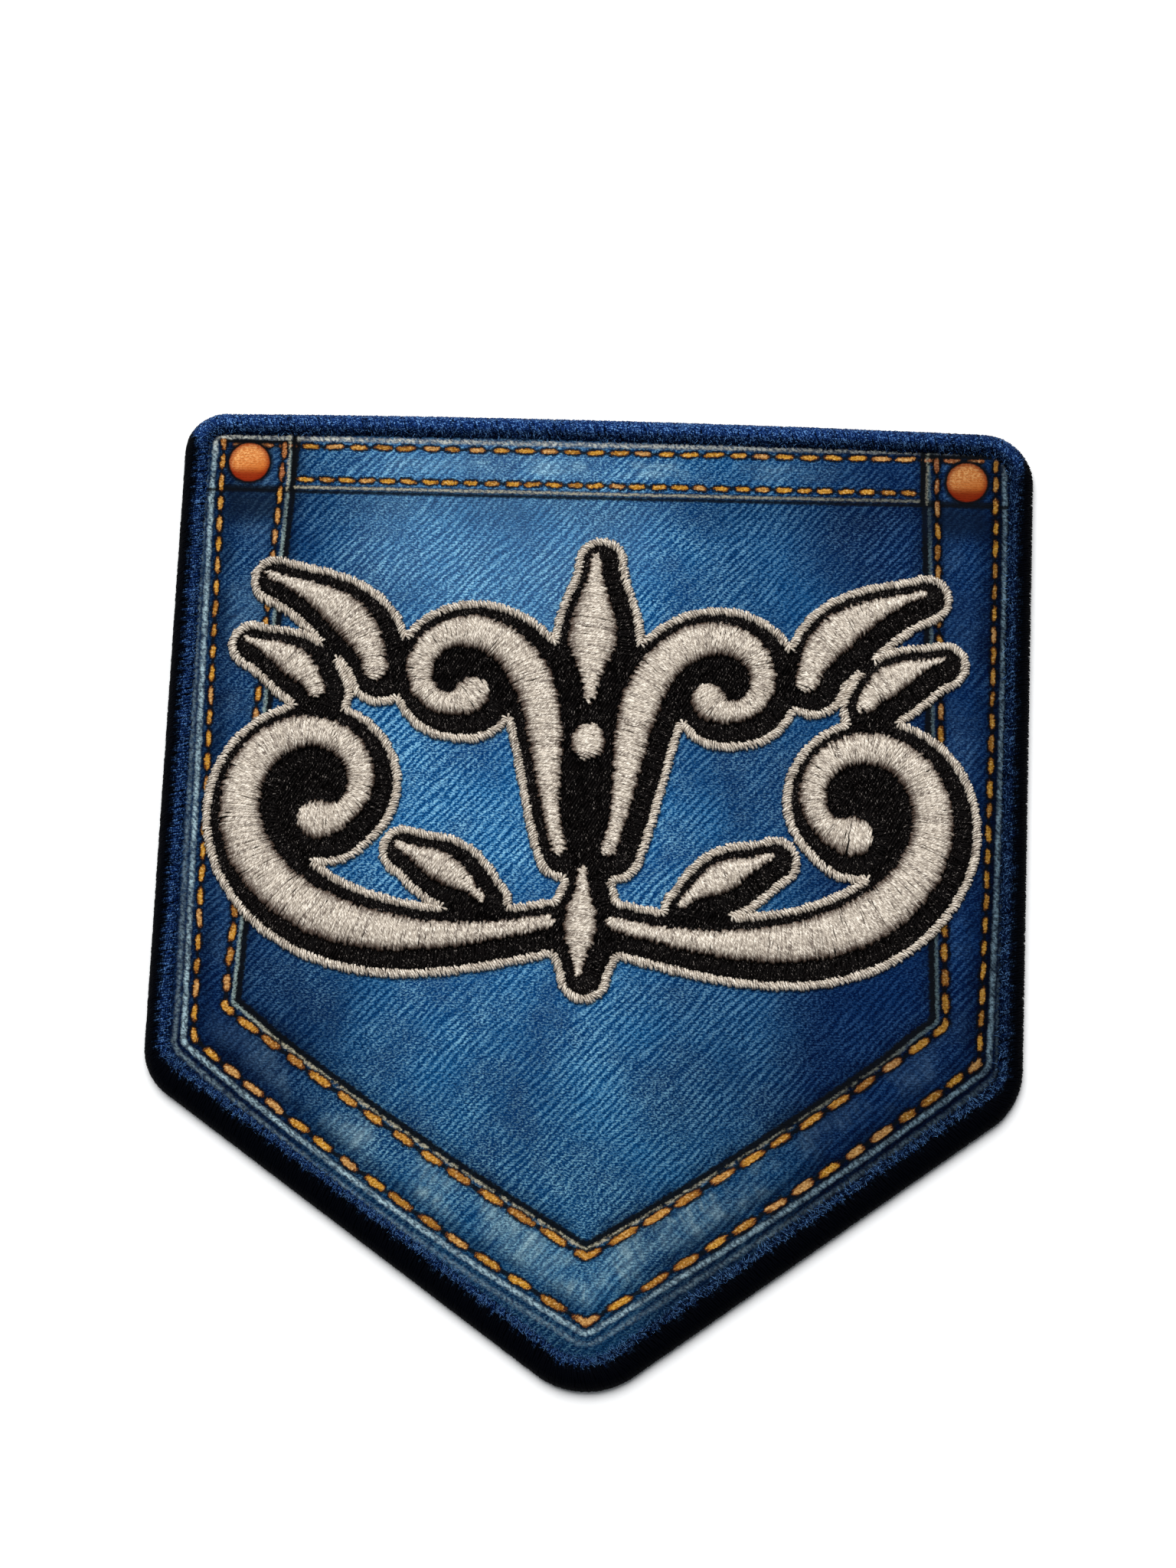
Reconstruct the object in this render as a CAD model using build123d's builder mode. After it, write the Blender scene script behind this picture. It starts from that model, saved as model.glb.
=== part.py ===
from build123d import *

import math
import os
from typing import NamedTuple

# An embroidered sew-on patch in the shape of a jeans pocket, lying face up. A stiff cloth is held in
# the slot of a rolled thread border. On the cloth stands a scroll ornament: a flat ground of dark
# thread, a raised cord of light thread round the ground, and the domed satin columns of the scrolls
# and leaves. Millimetres, +Z up, +Y towards the straight edge, origin under the middle of the patch.

# Outline of the patch
patch_width = 102.0
side_height = 81.2
point_depth = 36.8
point_shift = 2.0
top_arch = 0.6
top_left_radius = 4.8
top_right_radius = 6.0
left_shoulder_radius = 6.8
right_shoulder_radius = 8.5
point_radius = 9.5
smallest_radius = 0.6

# Rolled border: how much of the face it covers along each edge, and its thread over and under it
border_top = 2.6
border_side = 2.7
border_flank = 3.5
border_over = 0.85
border_under = 0.55
border_outer_round = 1.2
border_inner_round = 0.7
border_under_round = 0.5
round_limit = 0.48

# Face cloth, held in the border's slot
cloth_thickness = 1.2
cloth_inset = 1.1
piece_gap = 0.05

# Scroll ornament: the cloth left bare beside it, and its middle's place under the straight edge
room_beside = 2.8
motif_drop = 41.8
motif_shift = -0.8

# Layers of the ornament. The ground lies further to the lower right, as a shadow would
stroke_width = 5.5
stroke_height = 0.9
ground_height = 0.4
ground_near = 0.7
shadow_right = 0.65
shadow_down = 0.6
cord_width = 0.95
cord_height = 0.75
smallest_opening = 30.0

# How finely the ornament's outlines are drawn
arc_length = 4.0
steps_per_arc = 12
tip_crowding = 1.4
span_turn = 70.0
knob_run = 1.6
centre_share = 0.9
least_bend = 1e-4

# Sizes that follow from those above
border_height = border_under + cloth_thickness + border_over
cloth_top = border_under + cloth_thickness
ground_margin = ground_near + math.hypot(shadow_right, shadow_down)
beside_motif = border_side + room_beside + cord_width + piece_gap + ground_margin
motif_width = patch_width - 2 * beside_motif

# Dome of a satin column: share of its height, and share of its width that is left there
DOME = ((0.0, 1.0), (0.5, 0.94), (0.85, 0.72), (1.0, 0.4))


class Inset(NamedTuple):
    """How far an outline lies inside the patch's own, along each kind of edge."""

    top: float
    side: float
    flank: float


class Stroke(NamedTuple):
    """One satin column of the ornament, drawn from its root; a mirrored one has a twin on the left.

    x, y and length are shares of motif_width. The line turns at turn_in at its root and turn_out at
    its tip, in degrees for each whole length, and late is how late the turn builds up. The four
    widths are half widths as shares of stroke_width: at the root, at the belly, at the neck before
    the tip, and in the round knob that ends a scroll. belly_at is the belly's share of the length.
    """

    name: str
    x: float
    y: float
    heading: float
    length: float
    turn_in: float
    turn_out: float
    late: float
    root: float
    belly: float
    neck: float
    knob: float
    belly_at: float
    mirrored: bool


class Station(NamedTuple):
    """A point on a stroke's centreline, with its heading in radians and its half width.

    The limits are how far each side may reach before it passes the centre of the line's turn.
    """

    x: float
    y: float
    heading: float
    reach: float
    left_limit: float
    right_limit: float


# name, x, y, heading, length, turn_in, turn_out, late, root, belly, neck, knob, belly_at, mirrored
STROKES = (
    Stroke("scroll", 0.046, -0.230, -14, 0.873, 55, 985, 1.9, 0.16, 0.50, 0.26, 0.43, 0.40, True),
    Stroke("curl", 0.034, -0.126, 72, 0.563, 100, -890, 1.45, 0.16, 0.43, 0.23, 0.38, 0.40, True),
    Stroke("long_leaf", 0.299, 0.122, 80, 0.210, -120, 0, 1.0, 0.27, 0.42, 0.09, 0.0, 0.35, True),
    Stroke("short_leaf", 0.380, 0.090, 62, 0.122, -85, 0, 1.0, 0.22, 0.33, 0.07, 0.0, 0.35, True),
    Stroke("inner_leaf", 0.137, -0.200, 48, 0.137, -60, 20, 1.0, 0.09, 0.33, 0.09, 0.0, 0.50, True),
    Stroke("top_leaf", 0.0, 0.090, 90, 0.200, 0, 0, 1.0, 0.13, 0.52, 0.09, 0.0, 0.42, False),
    Stroke("bead", 0.0, 0.022, 90, 0.006, 0, 0, 1.0, 0.36, 0.36, 0.36, 0.0, 0.50, False),
    Stroke("drop_leaf", 0.0, -0.157, 270, 0.142, 0, 0, 1.0, 0.09, 0.36, 0.09, 0.0, 0.55, False),
)


def pocket_corners(inset):
    """Corners of the drawn-in outline, from the point clockwise, with y counted from the shoulders."""
    half = patch_width / 2
    left_slope = -point_depth / (half + point_shift)
    right_slope = point_depth / (half - point_shift)
    left_start = inset.flank * math.hypot(1, left_slope) + left_slope * half
    right_start = inset.flank * math.hypot(1, right_slope) - right_slope * half
    point_x = (left_start - right_start) / (right_slope - left_slope)
    left_x = inset.side - half
    right_x = half - inset.side
    return (
        (point_x, left_start + left_slope * point_x),
        (left_x, left_start + left_slope * left_x),
        (left_x, side_height - inset.top),
        (right_x, side_height - inset.top),
        (right_x, right_start + right_slope * right_x),
    )


# The shoulders' place in the patch's own frame, whose origin is in the middle of the whole outline
lowest = pocket_corners(Inset(0, 0, point_radius))[0][1] - point_radius
shoulder_y = -(side_height + top_arch + lowest) / 2


def pocket_sketch(height, inset):
    """The patch's rounded outline, drawn in by inset, as a face at height."""
    corners = [(x, y + shoulder_y) for x, y in pocket_corners(inset)]
    point, left_low, left_high, right_high, right_low = corners
    crown = (0, left_high[1] + top_arch)
    radii = (
        point_radius - inset.flank,
        left_shoulder_radius - inset.flank,
        top_left_radius - inset.side,
        top_right_radius - inset.side,
        right_shoulder_radius - inset.flank,
    )
    with BuildSketch(Plane.XY.offset(height)) as pocket:
        with BuildLine():
            Polyline(left_high, left_low, point, right_low, right_high)
            ThreePointArc(right_high, crown, left_high)
        make_face()
        for corner, radius in zip(corners, radii):
            nearest = pocket.vertices().sort_by_distance(corner)[0]
            fillet(nearest, max(radius, smallest_radius))
    return pocket.sketch


def ease(share):
    """Eases a share between 0 and 1, flat at both ends."""
    held = min(max(share, 0.0), 1.0)
    return held * held * (3 - 2 * held)


def heading_at(stroke, share):
    """Heading of a stroke's line, in radians, at a share of its length."""
    gain = (stroke.turn_out - stroke.turn_in) * share ** (stroke.late + 1) / (stroke.late + 1)
    return math.radians(stroke.heading + stroke.turn_in * share + gain)


def turn_at(stroke, share):
    """Curvature of a stroke's line, in radians for each mm, positive to the left."""
    turn = stroke.turn_in + (stroke.turn_out - stroke.turn_in) * share**stroke.late
    return math.radians(turn) / (stroke.length * motif_width)


def half_width_at(stroke, share):
    """Half width of a stroke at a share of its length."""
    if share < stroke.belly_at:
        width = stroke.root + (stroke.belly - stroke.root) * ease(share / stroke.belly_at)
    else:
        fall = ease((share - stroke.belly_at) / (1 - stroke.belly_at))
        width = stroke.belly + (stroke.neck - stroke.belly) * fall
    if stroke.knob:
        left_over = (1 - share) * stroke.length * motif_width
        run = knob_run * stroke.knob * stroke_width
        width += (stroke.knob - width) * ease(1 - left_over / run)
    return width * stroke_width


def stations_of(stroke):
    """Stations along a stroke's line, closer together towards its tip, in the ornament's frame."""
    length = stroke.length * motif_width
    arcs = max(2, round(length / arc_length))
    steps = arcs * steps_per_arc
    x = stroke.x * motif_width
    y = stroke.y * motif_width
    share = 0.0
    stations = []
    for step in range(steps + 1):
        if step % (steps_per_arc // 2) == 0:
            turn = turn_at(stroke, share)
            to_centre = centre_share / max(abs(turn), 1 / motif_width)
            left = to_centre if turn > 0 else motif_width
            right = to_centre if turn < 0 else motif_width
            reach = half_width_at(stroke, share)
            stations.append(Station(x, y, heading_at(stroke, share), reach, left, right))
        following = 1 - (1 - (step + 1) / steps) ** tip_crowding if step < steps else 1.0
        middle = heading_at(stroke, (share + following) / 2)
        x += (following - share) * length * math.cos(middle)
        y += (following - share) * length * math.sin(middle)
        share = following
    return stations


def mirrored(stations):
    """The stations' twin on the left of the ornament."""
    return [
        Station(-s.x, s.y, math.pi - s.heading, s.reach, s.right_limit, s.left_limit) for s in stations
    ]


def spans_of(stations):
    """Cuts a stroke's stations into overlapping spans that each turn little enough to stay simple."""
    spans = []
    start = 0
    for end in range(2, len(stations), 2):
        last = end == len(stations) - 1
        beyond = stations[min(end + 2, len(stations) - 1)].heading
        if last or abs(beyond - stations[start].heading) > math.radians(span_turn):
            spans.append(stations[start : end + 1])
            start = end
    return spans


def side_points(stations, left, share, margin):
    """Points along one side of the stations, with widths scaled by share and grown by margin."""
    points = []
    for s in stations:
        limit = s.left_limit if left else s.right_limit
        reach = min(s.reach * share + margin, limit)
        across = s.heading + math.pi / 2 if left else s.heading - math.pi / 2
        points.append((s.x + reach * math.cos(across), s.y + reach * math.sin(across)))
    return points


def curve_through(start, middle, end):
    """An arc through three points, or a line where they lie in a row."""
    bend = (middle[0] - start[0]) * (end[1] - start[1]) - (middle[1] - start[1]) * (end[0] - start[0])
    if abs(bend) < least_bend:
        Line(start, end)
    else:
        ThreePointArc(start, middle, end)


def draw_outline(stations, share=1.0, margin=0.0):
    """Draws the closed outline of a column with round ends into the line that is open."""
    left = side_points(stations, True, share, margin)
    right = side_points(stations, False, share, margin)
    root = stations[0]
    tip = stations[-1]
    root_reach = root.reach * share + margin
    tip_reach = tip.reach * share + margin
    behind = (
        root.x - root_reach * math.cos(root.heading),
        root.y - root_reach * math.sin(root.heading),
    )
    ahead = (tip.x + tip_reach * math.cos(tip.heading), tip.y + tip_reach * math.sin(tip.heading))
    for i in range(0, len(left) - 1, 2):
        curve_through(left[i], left[i + 1], left[i + 2])
    ThreePointArc(left[-1], ahead, right[-1])
    for i in range(len(right) - 1, 0, -2):
        curve_through(right[i], right[i - 1], right[i - 2])
    ThreePointArc(right[0], behind, left[0])


# Every column of the ornament by its name, mirrored ones on both sides
columns = {}
for stroke in STROKES:
    drawn = stations_of(stroke)
    if stroke.mirrored:
        columns[f"{stroke.name}_right"] = drawn
        columns[f"{stroke.name}_left"] = mirrored(drawn)
    else:
        columns[stroke.name] = drawn

motif_y = shoulder_y + side_height - motif_drop


def grown_sketch(height, margin):
    """The ornament's outline grown by margin and moved like its shadow, with small openings closed."""
    with BuildSketch() as grown:
        for stations in columns.values():
            for span in spans_of(stations):
                with BuildLine():
                    draw_outline(span, margin=margin)
                make_face()
    islands = grown.faces().sort_by(SortBy.AREA, reverse=True)
    with BuildSketch(Plane((motif_shift + shadow_right, motif_y - shadow_down, height))) as closed:
        for island in islands:
            add(Face(island.outer_wire()))
            for opening in island.inner_wires():
                if Face(opening).area > smallest_opening:
                    add(Face(opening), mode=Mode.SUBTRACT)
    return closed.sketch


ground_bottom = cloth_top + piece_gap
stroke_bottom = ground_bottom + ground_height + piece_gap

whole_outline = pocket_sketch(0, Inset(0, 0, 0))
opening_outline = pocket_sketch(0, Inset(border_top, border_side, border_flank))
cloth_outline = pocket_sketch(border_under, Inset(cloth_inset, cloth_inset, cloth_inset))
slot_inset = cloth_inset - piece_gap
slot_outline = pocket_sketch(border_under - piece_gap, Inset(slot_inset, slot_inset, slot_inset))
narrowest = min(border_top, border_side, border_flank)

# Rolled border: a ring with a round outside, whose slot holds the cloth's edge
with BuildPart() as rolled_border:
    extrude(whole_outline, amount=border_height)
    top_edges = rolled_border.edges().group_by(Axis.Z)[-1]
    fillet(top_edges, min(border_outer_round, round_limit * min(narrowest, border_height)))
    under_edges = rolled_border.edges().group_by(Axis.Z)[0]
    fillet(under_edges, border_under_round)
    extrude(opening_outline, amount=border_height, mode=Mode.SUBTRACT)
    crest = rolled_border.faces().sort_by(Axis.Z)[-1]
    fillet(crest.inner_wires()[0].edges(), border_inner_round)
    extrude(slot_outline, amount=cloth_thickness + 2 * piece_gap, mode=Mode.SUBTRACT)

# Face cloth: one stiff sheet that fills the border's slot
with BuildPart() as face_cloth:
    extrude(cloth_outline, amount=cloth_thickness)

# Ground of the ornament: flat dark thread
ground_outline = grown_sketch(ground_bottom, ground_margin)
with BuildPart() as motif_ground:
    extrude(ground_outline, amount=ground_height)

# Cord round the ground: light thread that stands higher
cord_inside = grown_sketch(ground_bottom, ground_margin + piece_gap)
cord_outside = grown_sketch(ground_bottom, ground_margin + piece_gap + cord_width)
with BuildPart() as motif_cord:
    extrude(cord_outside, amount=cord_height)
    extrude(cord_inside, amount=cord_height, mode=Mode.SUBTRACT)


def satin_column(stations):
    """A domed column of satin thread on the ground, lofted through its narrowing outlines."""
    with BuildPart() as column:
        for height_share, width_share in DOME:
            plane = Plane((motif_shift, motif_y, stroke_bottom + height_share * stroke_height))
            with BuildSketch(plane):
                with BuildLine():
                    draw_outline(stations, share=width_share)
                make_face()
        loft(ruled=True)
    return column


pieces = {
    "rolled_border": rolled_border,
    "face_cloth": face_cloth,
    "motif_ground": motif_ground,
    "motif_cord": motif_cord,
}
for name, stations in columns.items():
    pieces[name] = satin_column(stations)

os.makedirs("parts", exist_ok=True)
for name, piece in pieces.items():
    piece.part.label = name
    export_step(piece.part, f"parts/{name}.step")
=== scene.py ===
"""Looks of the embroidered patch: a printed pocket cloth, a rolled thread border and a satin ornament.

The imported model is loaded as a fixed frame, and every piece here stands in for one of its soft solids.
Lengths in the classes are millimetres, as in the part's source; meshes are made in metres.
"""

import logging
import math
from dataclasses import dataclass, field
from enum import Enum
from typing import NamedTuple

import bpy
import numpy as np
from mathutils import Matrix, Vector
from mathutils.geometry import tessellate_polygon


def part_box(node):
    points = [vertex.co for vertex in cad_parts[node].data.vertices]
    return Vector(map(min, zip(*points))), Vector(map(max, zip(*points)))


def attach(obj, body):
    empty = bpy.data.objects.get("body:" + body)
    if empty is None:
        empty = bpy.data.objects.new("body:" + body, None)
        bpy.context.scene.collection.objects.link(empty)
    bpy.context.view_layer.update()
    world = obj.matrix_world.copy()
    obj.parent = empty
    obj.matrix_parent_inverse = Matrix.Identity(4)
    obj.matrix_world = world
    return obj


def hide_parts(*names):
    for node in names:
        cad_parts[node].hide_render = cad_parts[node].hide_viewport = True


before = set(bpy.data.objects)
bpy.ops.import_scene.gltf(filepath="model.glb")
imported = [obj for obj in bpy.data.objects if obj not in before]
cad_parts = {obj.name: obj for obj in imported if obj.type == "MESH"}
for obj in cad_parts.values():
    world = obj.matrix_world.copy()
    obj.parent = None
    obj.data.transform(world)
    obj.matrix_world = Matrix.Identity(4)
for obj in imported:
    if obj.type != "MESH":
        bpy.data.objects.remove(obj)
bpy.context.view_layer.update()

LOG = logging.getLogger("patch")
METRES = 0.001
BODY = "root"
SEED = 20
BLOCK = 4000
Colour = tuple[float, float, float]
Socket = bpy.types.NodeSocket
Sources = bpy.types.NodeOutputs
Targets = bpy.types.NodeInputs


class Slot(Enum):
    """Names of four material slots."""

    BORDER = "navy_border_thread"
    CLOTH = "denim_print_cloth"
    DARK = "black_thread"
    LIGHT = "white_thread"


class Side(Enum):
    """The two sides of a line, seen along it."""

    LEFT = 1.0
    RIGHT = -1.0


def srgb(red: float, green: float, blue: float) -> Colour:
    """Turns a display colour of 0 to 255 into the linear colour that a shader takes."""
    shares = [value / 255 for value in (red, green, blue)]
    return tuple(s / 12.92 if s <= 0.04045 else ((s + 0.055) / 1.055) ** 2.4 for s in shares)


def ease(share: np.ndarray) -> np.ndarray:
    """Eases shares between 0 and 1, flat at both ends."""
    held = np.clip(share, 0.0, 1.0)
    return held * held * (3 - 2 * held)


def unit(vectors: np.ndarray) -> np.ndarray:
    """Scales vectors along the last axis to length 1."""
    return vectors / np.maximum(np.linalg.norm(vectors, axis=-1, keepdims=True), 1e-12)


def ahead_of(loop: np.ndarray) -> np.ndarray:
    """Unit vectors along a closed line at each of its points."""
    return unit(np.roll(loop, -1, axis=0) - np.roll(loop, 1, axis=0))


def area_of(loop: np.ndarray) -> float:
    """Area inside a closed line, above 0 where it runs anticlockwise."""
    return np.sum(loop[:, 0] * np.roll(loop[:, 1], -1) - loop[:, 1] * np.roll(loop[:, 0], -1)) / 2


def evened(loop: np.ndarray, pitch: float) -> np.ndarray:
    """Points about one pitch apart round a closed line.

    Args:
        loop: (n, 2 or more) points, with values that go with them in further columns.
        pitch: distance between two new points, in mm.

    Returns:
        New points, with their values in the same columns.
    """
    closed = np.vstack([loop, loop[:1]])
    runs = np.concatenate([[0], np.cumsum(np.linalg.norm(np.diff(closed[:, :2], axis=0), axis=1))])
    count = round(runs[-1] / pitch)
    wanted = np.arange(count) * runs[-1] / count
    return np.stack([np.interp(wanted, runs, column) for column in closed.T], axis=1)


def raised(flat: np.ndarray, heights: np.ndarray) -> np.ndarray:
    """Flat paths of (threads, knots, 2) places with their heights put on."""
    return np.concatenate([flat, heights[..., None]], axis=2)


def blocks(count: int) -> list[slice]:
    """Slices of a long array that are short enough to work on one at a time."""
    return [slice(low, low + BLOCK) for low in range(0, count, BLOCK)]


def top_of(node: str) -> float:
    """Highest level of a CAD node, in mm."""
    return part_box(node)[1].z / METRES


def bottom_of(node: str) -> float:
    """Lowest level of a CAD node, in mm."""
    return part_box(node)[0].z / METRES


@dataclass
class Shape:
    """Points and faces of a mesh that is being put together, with values carried by its points."""

    points: list[np.ndarray] = field(default_factory=list)
    corners: list[np.ndarray] = field(default_factory=list)
    counts: list[np.ndarray] = field(default_factory=list)
    carried: dict[str, list[np.ndarray]] = field(default_factory=dict)
    size: int = 0

    def add(self, points: np.ndarray, faces: list[np.ndarray], **carried: np.ndarray) -> None:
        """Adds points, and faces that count from the first of them.

        Args:
            points: (n, 3) places in mm.
            faces: arrays of (faces, corners) point numbers, one array for each number of corners.
            carried: (n, 3) values for each point by attribute name.
        """
        self.points.append(points)
        for block in faces:
            self.corners.append((block + self.size).ravel())
            self.counts.append(np.full(len(block), block.shape[1]))
        for name, values in carried.items():
            self.carried.setdefault(name, []).append(values)
        self.size += len(points)

    def build(self, name: str, material: bpy.types.Material) -> bpy.types.Object:
        """Makes the mesh object, smooth shaded, and links it to the scene.

        Args:
            name: the piece's name.
            material: its finish.

        Returns:
            The new object, with its places in metres in the row frame.
        """
        mesh = bpy.data.meshes.new(name)
        counts = np.concatenate(self.counts)
        corners = np.concatenate(self.corners)
        mesh.vertices.add(self.size)
        mesh.vertices.foreach_set("co", (np.concatenate(self.points) * METRES).astype(np.float32).ravel())
        mesh.loops.add(len(corners))
        mesh.loops.foreach_set("vertex_index", corners.astype(np.int32))
        mesh.polygons.add(len(counts))
        mesh.polygons.foreach_set("loop_start", (np.cumsum(counts) - counts).astype(np.int32))
        mesh.polygons.foreach_set("use_smooth", np.ones(len(counts), bool))
        for attribute, values in self.carried.items():
            made = mesh.attributes.new(attribute, "FLOAT_VECTOR", "POINT")
            made.data.foreach_set("vector", np.concatenate(values).astype(np.float32).ravel())
        mesh.update(calc_edges=True)
        mesh.validate()
        mesh.materials.append(material)
        piece = bpy.data.objects.new(name, mesh)
        bpy.context.scene.collection.objects.link(piece)
        return piece


@dataclass
class ThreadBundle:
    """Many threads of one build, laid as tubes along their paths."""

    paths: np.ndarray
    half_widths: np.ndarray
    half_heights: np.ndarray
    tones: np.ndarray
    # brightness at each knot, below 1 where shade is painted into the thread's colour
    nap: np.ndarray
    sides: int = 5
    # how far stray fibres are painted with highlights
    shine: float = 0.0

    def add_to(self, shape: Shape) -> None:
        """Adds the closed tubes to a shape, with thread coordinates (mm along, share around, tone) and
        painted light.
        """
        count, knots, _ = self.paths.shape
        along = unit(np.gradient(self.paths, axis=1))
        # A thread's width lies level, square to its chord
        chord = self.paths[:, -1] - self.paths[:, 0]
        beside = unit(np.stack([-chord[:, 1], chord[:, 0], np.zeros(count)], axis=1))[:, None, :]
        above = unit(np.cross(along, beside))
        turns = np.arange(self.sides) / self.sides
        angles = 2 * np.pi * turns - np.pi / 2
        rings = (
            self.paths[:, :, None, :]
            + (beside[:, :, None, :] * np.cos(angles)[:, None]) * self.half_widths[:, :, None, None]
            + (above[:, :, None, :] * np.sin(angles)[:, None]) * self.half_heights[:, :, None, None]
        )
        runs = np.linalg.norm(np.diff(self.paths, axis=1), axis=2)
        lengths = np.concatenate([np.zeros((count, 1)), np.cumsum(runs, axis=1)], axis=1)
        thread = np.empty((count, knots, self.sides, 3))
        thread[..., 0] = lengths[:, :, None]
        thread[..., 1] = turns
        thread[..., 2] = self.tones[:, None, None]
        nap = np.zeros((count, knots, self.sides, 3))
        nap[..., 0] = self.nap[:, :, None]
        nap[..., 1] = self.shine
        number = np.arange(count * knots * self.sides).reshape(count, knots, self.sides)
        following = np.roll(number, -1, axis=2)
        walls = np.stack([number[:, :-1], following[:, :-1], following[:, 1:], number[:, 1:]], axis=-1)
        starts = number[:, 0, ::-1]
        ends = number[:, -1, :]
        faces = [walls.reshape(-1, 4), starts, ends]
        shape.add(rings.reshape(-1, 3), faces, thread=thread.reshape(-1, 3), nap=nap.reshape(-1, 3))


class Graph:
    """Adds nodes to one shader tree and links them."""

    def __init__(self, tree: bpy.types.NodeTree) -> None:
        """Keeps the tree that the nodes go into."""
        self.tree = tree

    def node(self, kind: str, **settings: object) -> bpy.types.Node:
        """Adds a node of a kind, such as Math, and sets its options."""
        made = self.tree.nodes.new(f"ShaderNode{kind}")
        for name, value in settings.items():
            setattr(made, name, value)
        return made

    def feed(self, socket: Socket, value: object) -> None:
        """Links another node's output to a socket, or sets the socket to a plain value."""
        if isinstance(value, Socket):
            self.tree.links.new(value, socket)
        elif isinstance(value, tuple) and socket.type == "RGBA":
            socket.default_value = (*value, 1.0)
        else:
            socket.default_value = value

    def math(self, operation: str, *values: object) -> Socket:
        """A number worked out from up to three others."""
        made = self.node("Math", operation=operation)
        for socket, value in zip(made.inputs, values):
            self.feed(socket, value)
        return made.outputs[0]

    def add(self, first: object, second: object) -> Socket:
        """The sum of two numbers."""
        return self.math("ADD", first, second)

    def minus(self, first: object, second: object) -> Socket:
        """The first number less the second."""
        return self.math("SUBTRACT", first, second)

    def times(self, first: object, *others: object) -> Socket:
        """Several numbers or masks multiplied together."""
        product = first
        for other in others:
            product = self.math("MULTIPLY", product, other)
        return product

    def over(self, first: object, second: object) -> Socket:
        """The first number divided by the second."""
        return self.math("DIVIDE", first, second)

    def size(self, value: object) -> Socket:
        """A number without its sign."""
        return self.math("ABSOLUTE", value)

    def most(self, first: object, second: object) -> Socket:
        """The larger of two numbers."""
        return self.math("MAXIMUM", first, second)

    def least(self, first: object, second: object) -> Socket:
        """The smaller of two numbers."""
        return self.math("MINIMUM", first, second)

    def split(self, vector: Socket) -> tuple[Socket, Socket, Socket]:
        """The three numbers of a vector."""
        made = self.node("SeparateXYZ")
        self.feed(made.inputs[0], vector)
        return made.outputs[0], made.outputs[1], made.outputs[2]

    def join(self, x: object, y: object, z: object = 0.0) -> Socket:
        """A vector of three numbers."""
        made = self.node("CombineXYZ")
        for socket, value in zip(made.inputs, (x, y, z)):
            self.feed(socket, value)
        return made.outputs[0]

    def step(self, value: object, low: object, high: object, start: float = 0.0, end: float = 1.0) -> Socket:
        """Runs smoothly from start to end as value goes from low to high."""
        made = self.node("MapRange", interpolation_type="SMOOTHSTEP")
        for socket, given in zip(made.inputs, (value, low, high, start, end)):
            self.feed(socket, given)
        return made.outputs[0]

    def band(self, value: Socket, middle: object, half: float, soft: float, full: float = 1.0) -> Socket:
        """A mask of a soft line round a middle value, at most full."""
        return self.step(self.size(self.minus(value, middle)), half, half + soft, full, 0.0)

    def mix(self, share: object, first: object, second: object, blend: str = "MIX") -> Socket:
        """A colour between two others."""
        made = self.node("Mix", data_type="RGBA", blend_type=blend)
        self.feed(made.inputs[0], share)
        self.feed(made.inputs[6], first)
        self.feed(made.inputs[7], second)
        return made.outputs[2]

    def noise(self, vector: object, scale: float, detail: float = 2.0, roughness: float = 0.5) -> Socket:
        """Soft noise of about 0 to 1, even in the middle."""
        made = self.node("TexNoise", noise_dimensions="3D")
        self.feed(made.inputs["Vector"], vector)
        made.inputs["Scale"].default_value = scale
        made.inputs["Detail"].default_value = detail
        made.inputs["Roughness"].default_value = roughness
        return made.outputs[0]

    def wobble(
        self, vector: object, scale: float, width: float, detail: float = 2.0, roughness: float = 0.5
    ) -> Socket:
        """Noise round 0, about a width from its lowest to its highest."""
        return self.times(self.minus(self.noise(vector, scale, detail, roughness), 0.5), width)

    def chance(self, vector: object) -> Socket:
        """A random number from 0 to 1 for each vector."""
        made = self.node("TexWhiteNoise", noise_dimensions="3D")
        self.feed(made.inputs["Vector"], vector)
        return made.outputs[0]

    def carried(self, name: str) -> Socket:
        """The vector that the mesh carries under a name."""
        return self.node("Attribute", attribute_name=name).outputs["Vector"]

    def place(self) -> Socket:
        """The point's place on the patch, in mm."""
        made = self.node("VectorMath", operation="SCALE")
        self.feed(made.inputs[0], self.node("TexCoord").outputs["Object"])
        made.inputs["Scale"].default_value = 1 / METRES
        return made.outputs[0]

    def use(self, group: bpy.types.NodeTree, **inputs: object) -> bpy.types.Node:
        """Places a node group and feeds its named inputs; an underscore in a name stands for a space."""
        made = self.node("Group", node_tree=group)
        for name, value in inputs.items():
            self.feed(made.inputs[name.replace("_", " ")], value)
        return made


class Surface:
    """A new material: the graph of its patterns, and what they feed."""

    def __init__(self, name: str, roughness: float, gloss: float) -> None:
        """Makes the material, with one roughness and specular level all over."""
        self.material = bpy.data.materials.new(name)
        self.material.use_nodes = True
        self.graph = Graph(self.material.node_tree)
        self.inputs = self.material.node_tree.nodes["Principled BSDF"].inputs
        self.inputs["Roughness"].default_value = roughness
        self.inputs["Specular IOR Level"].default_value = gloss

    def colour(self, colour: Socket) -> None:
        """Feeds the base colour."""
        self.graph.feed(self.inputs["Base Color"], colour)

    def relief(self, height: Socket, strength: float, depth: float) -> None:
        """Bumps the surface by a height that stands for a depth in mm."""
        bump = self.graph.node("Bump")
        self.graph.feed(bump.inputs["Height"], height)
        bump.inputs["Strength"].default_value = strength
        bump.inputs["Distance"].default_value = depth * METRES
        self.graph.feed(self.inputs["Normal"], bump.outputs[0])


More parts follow.
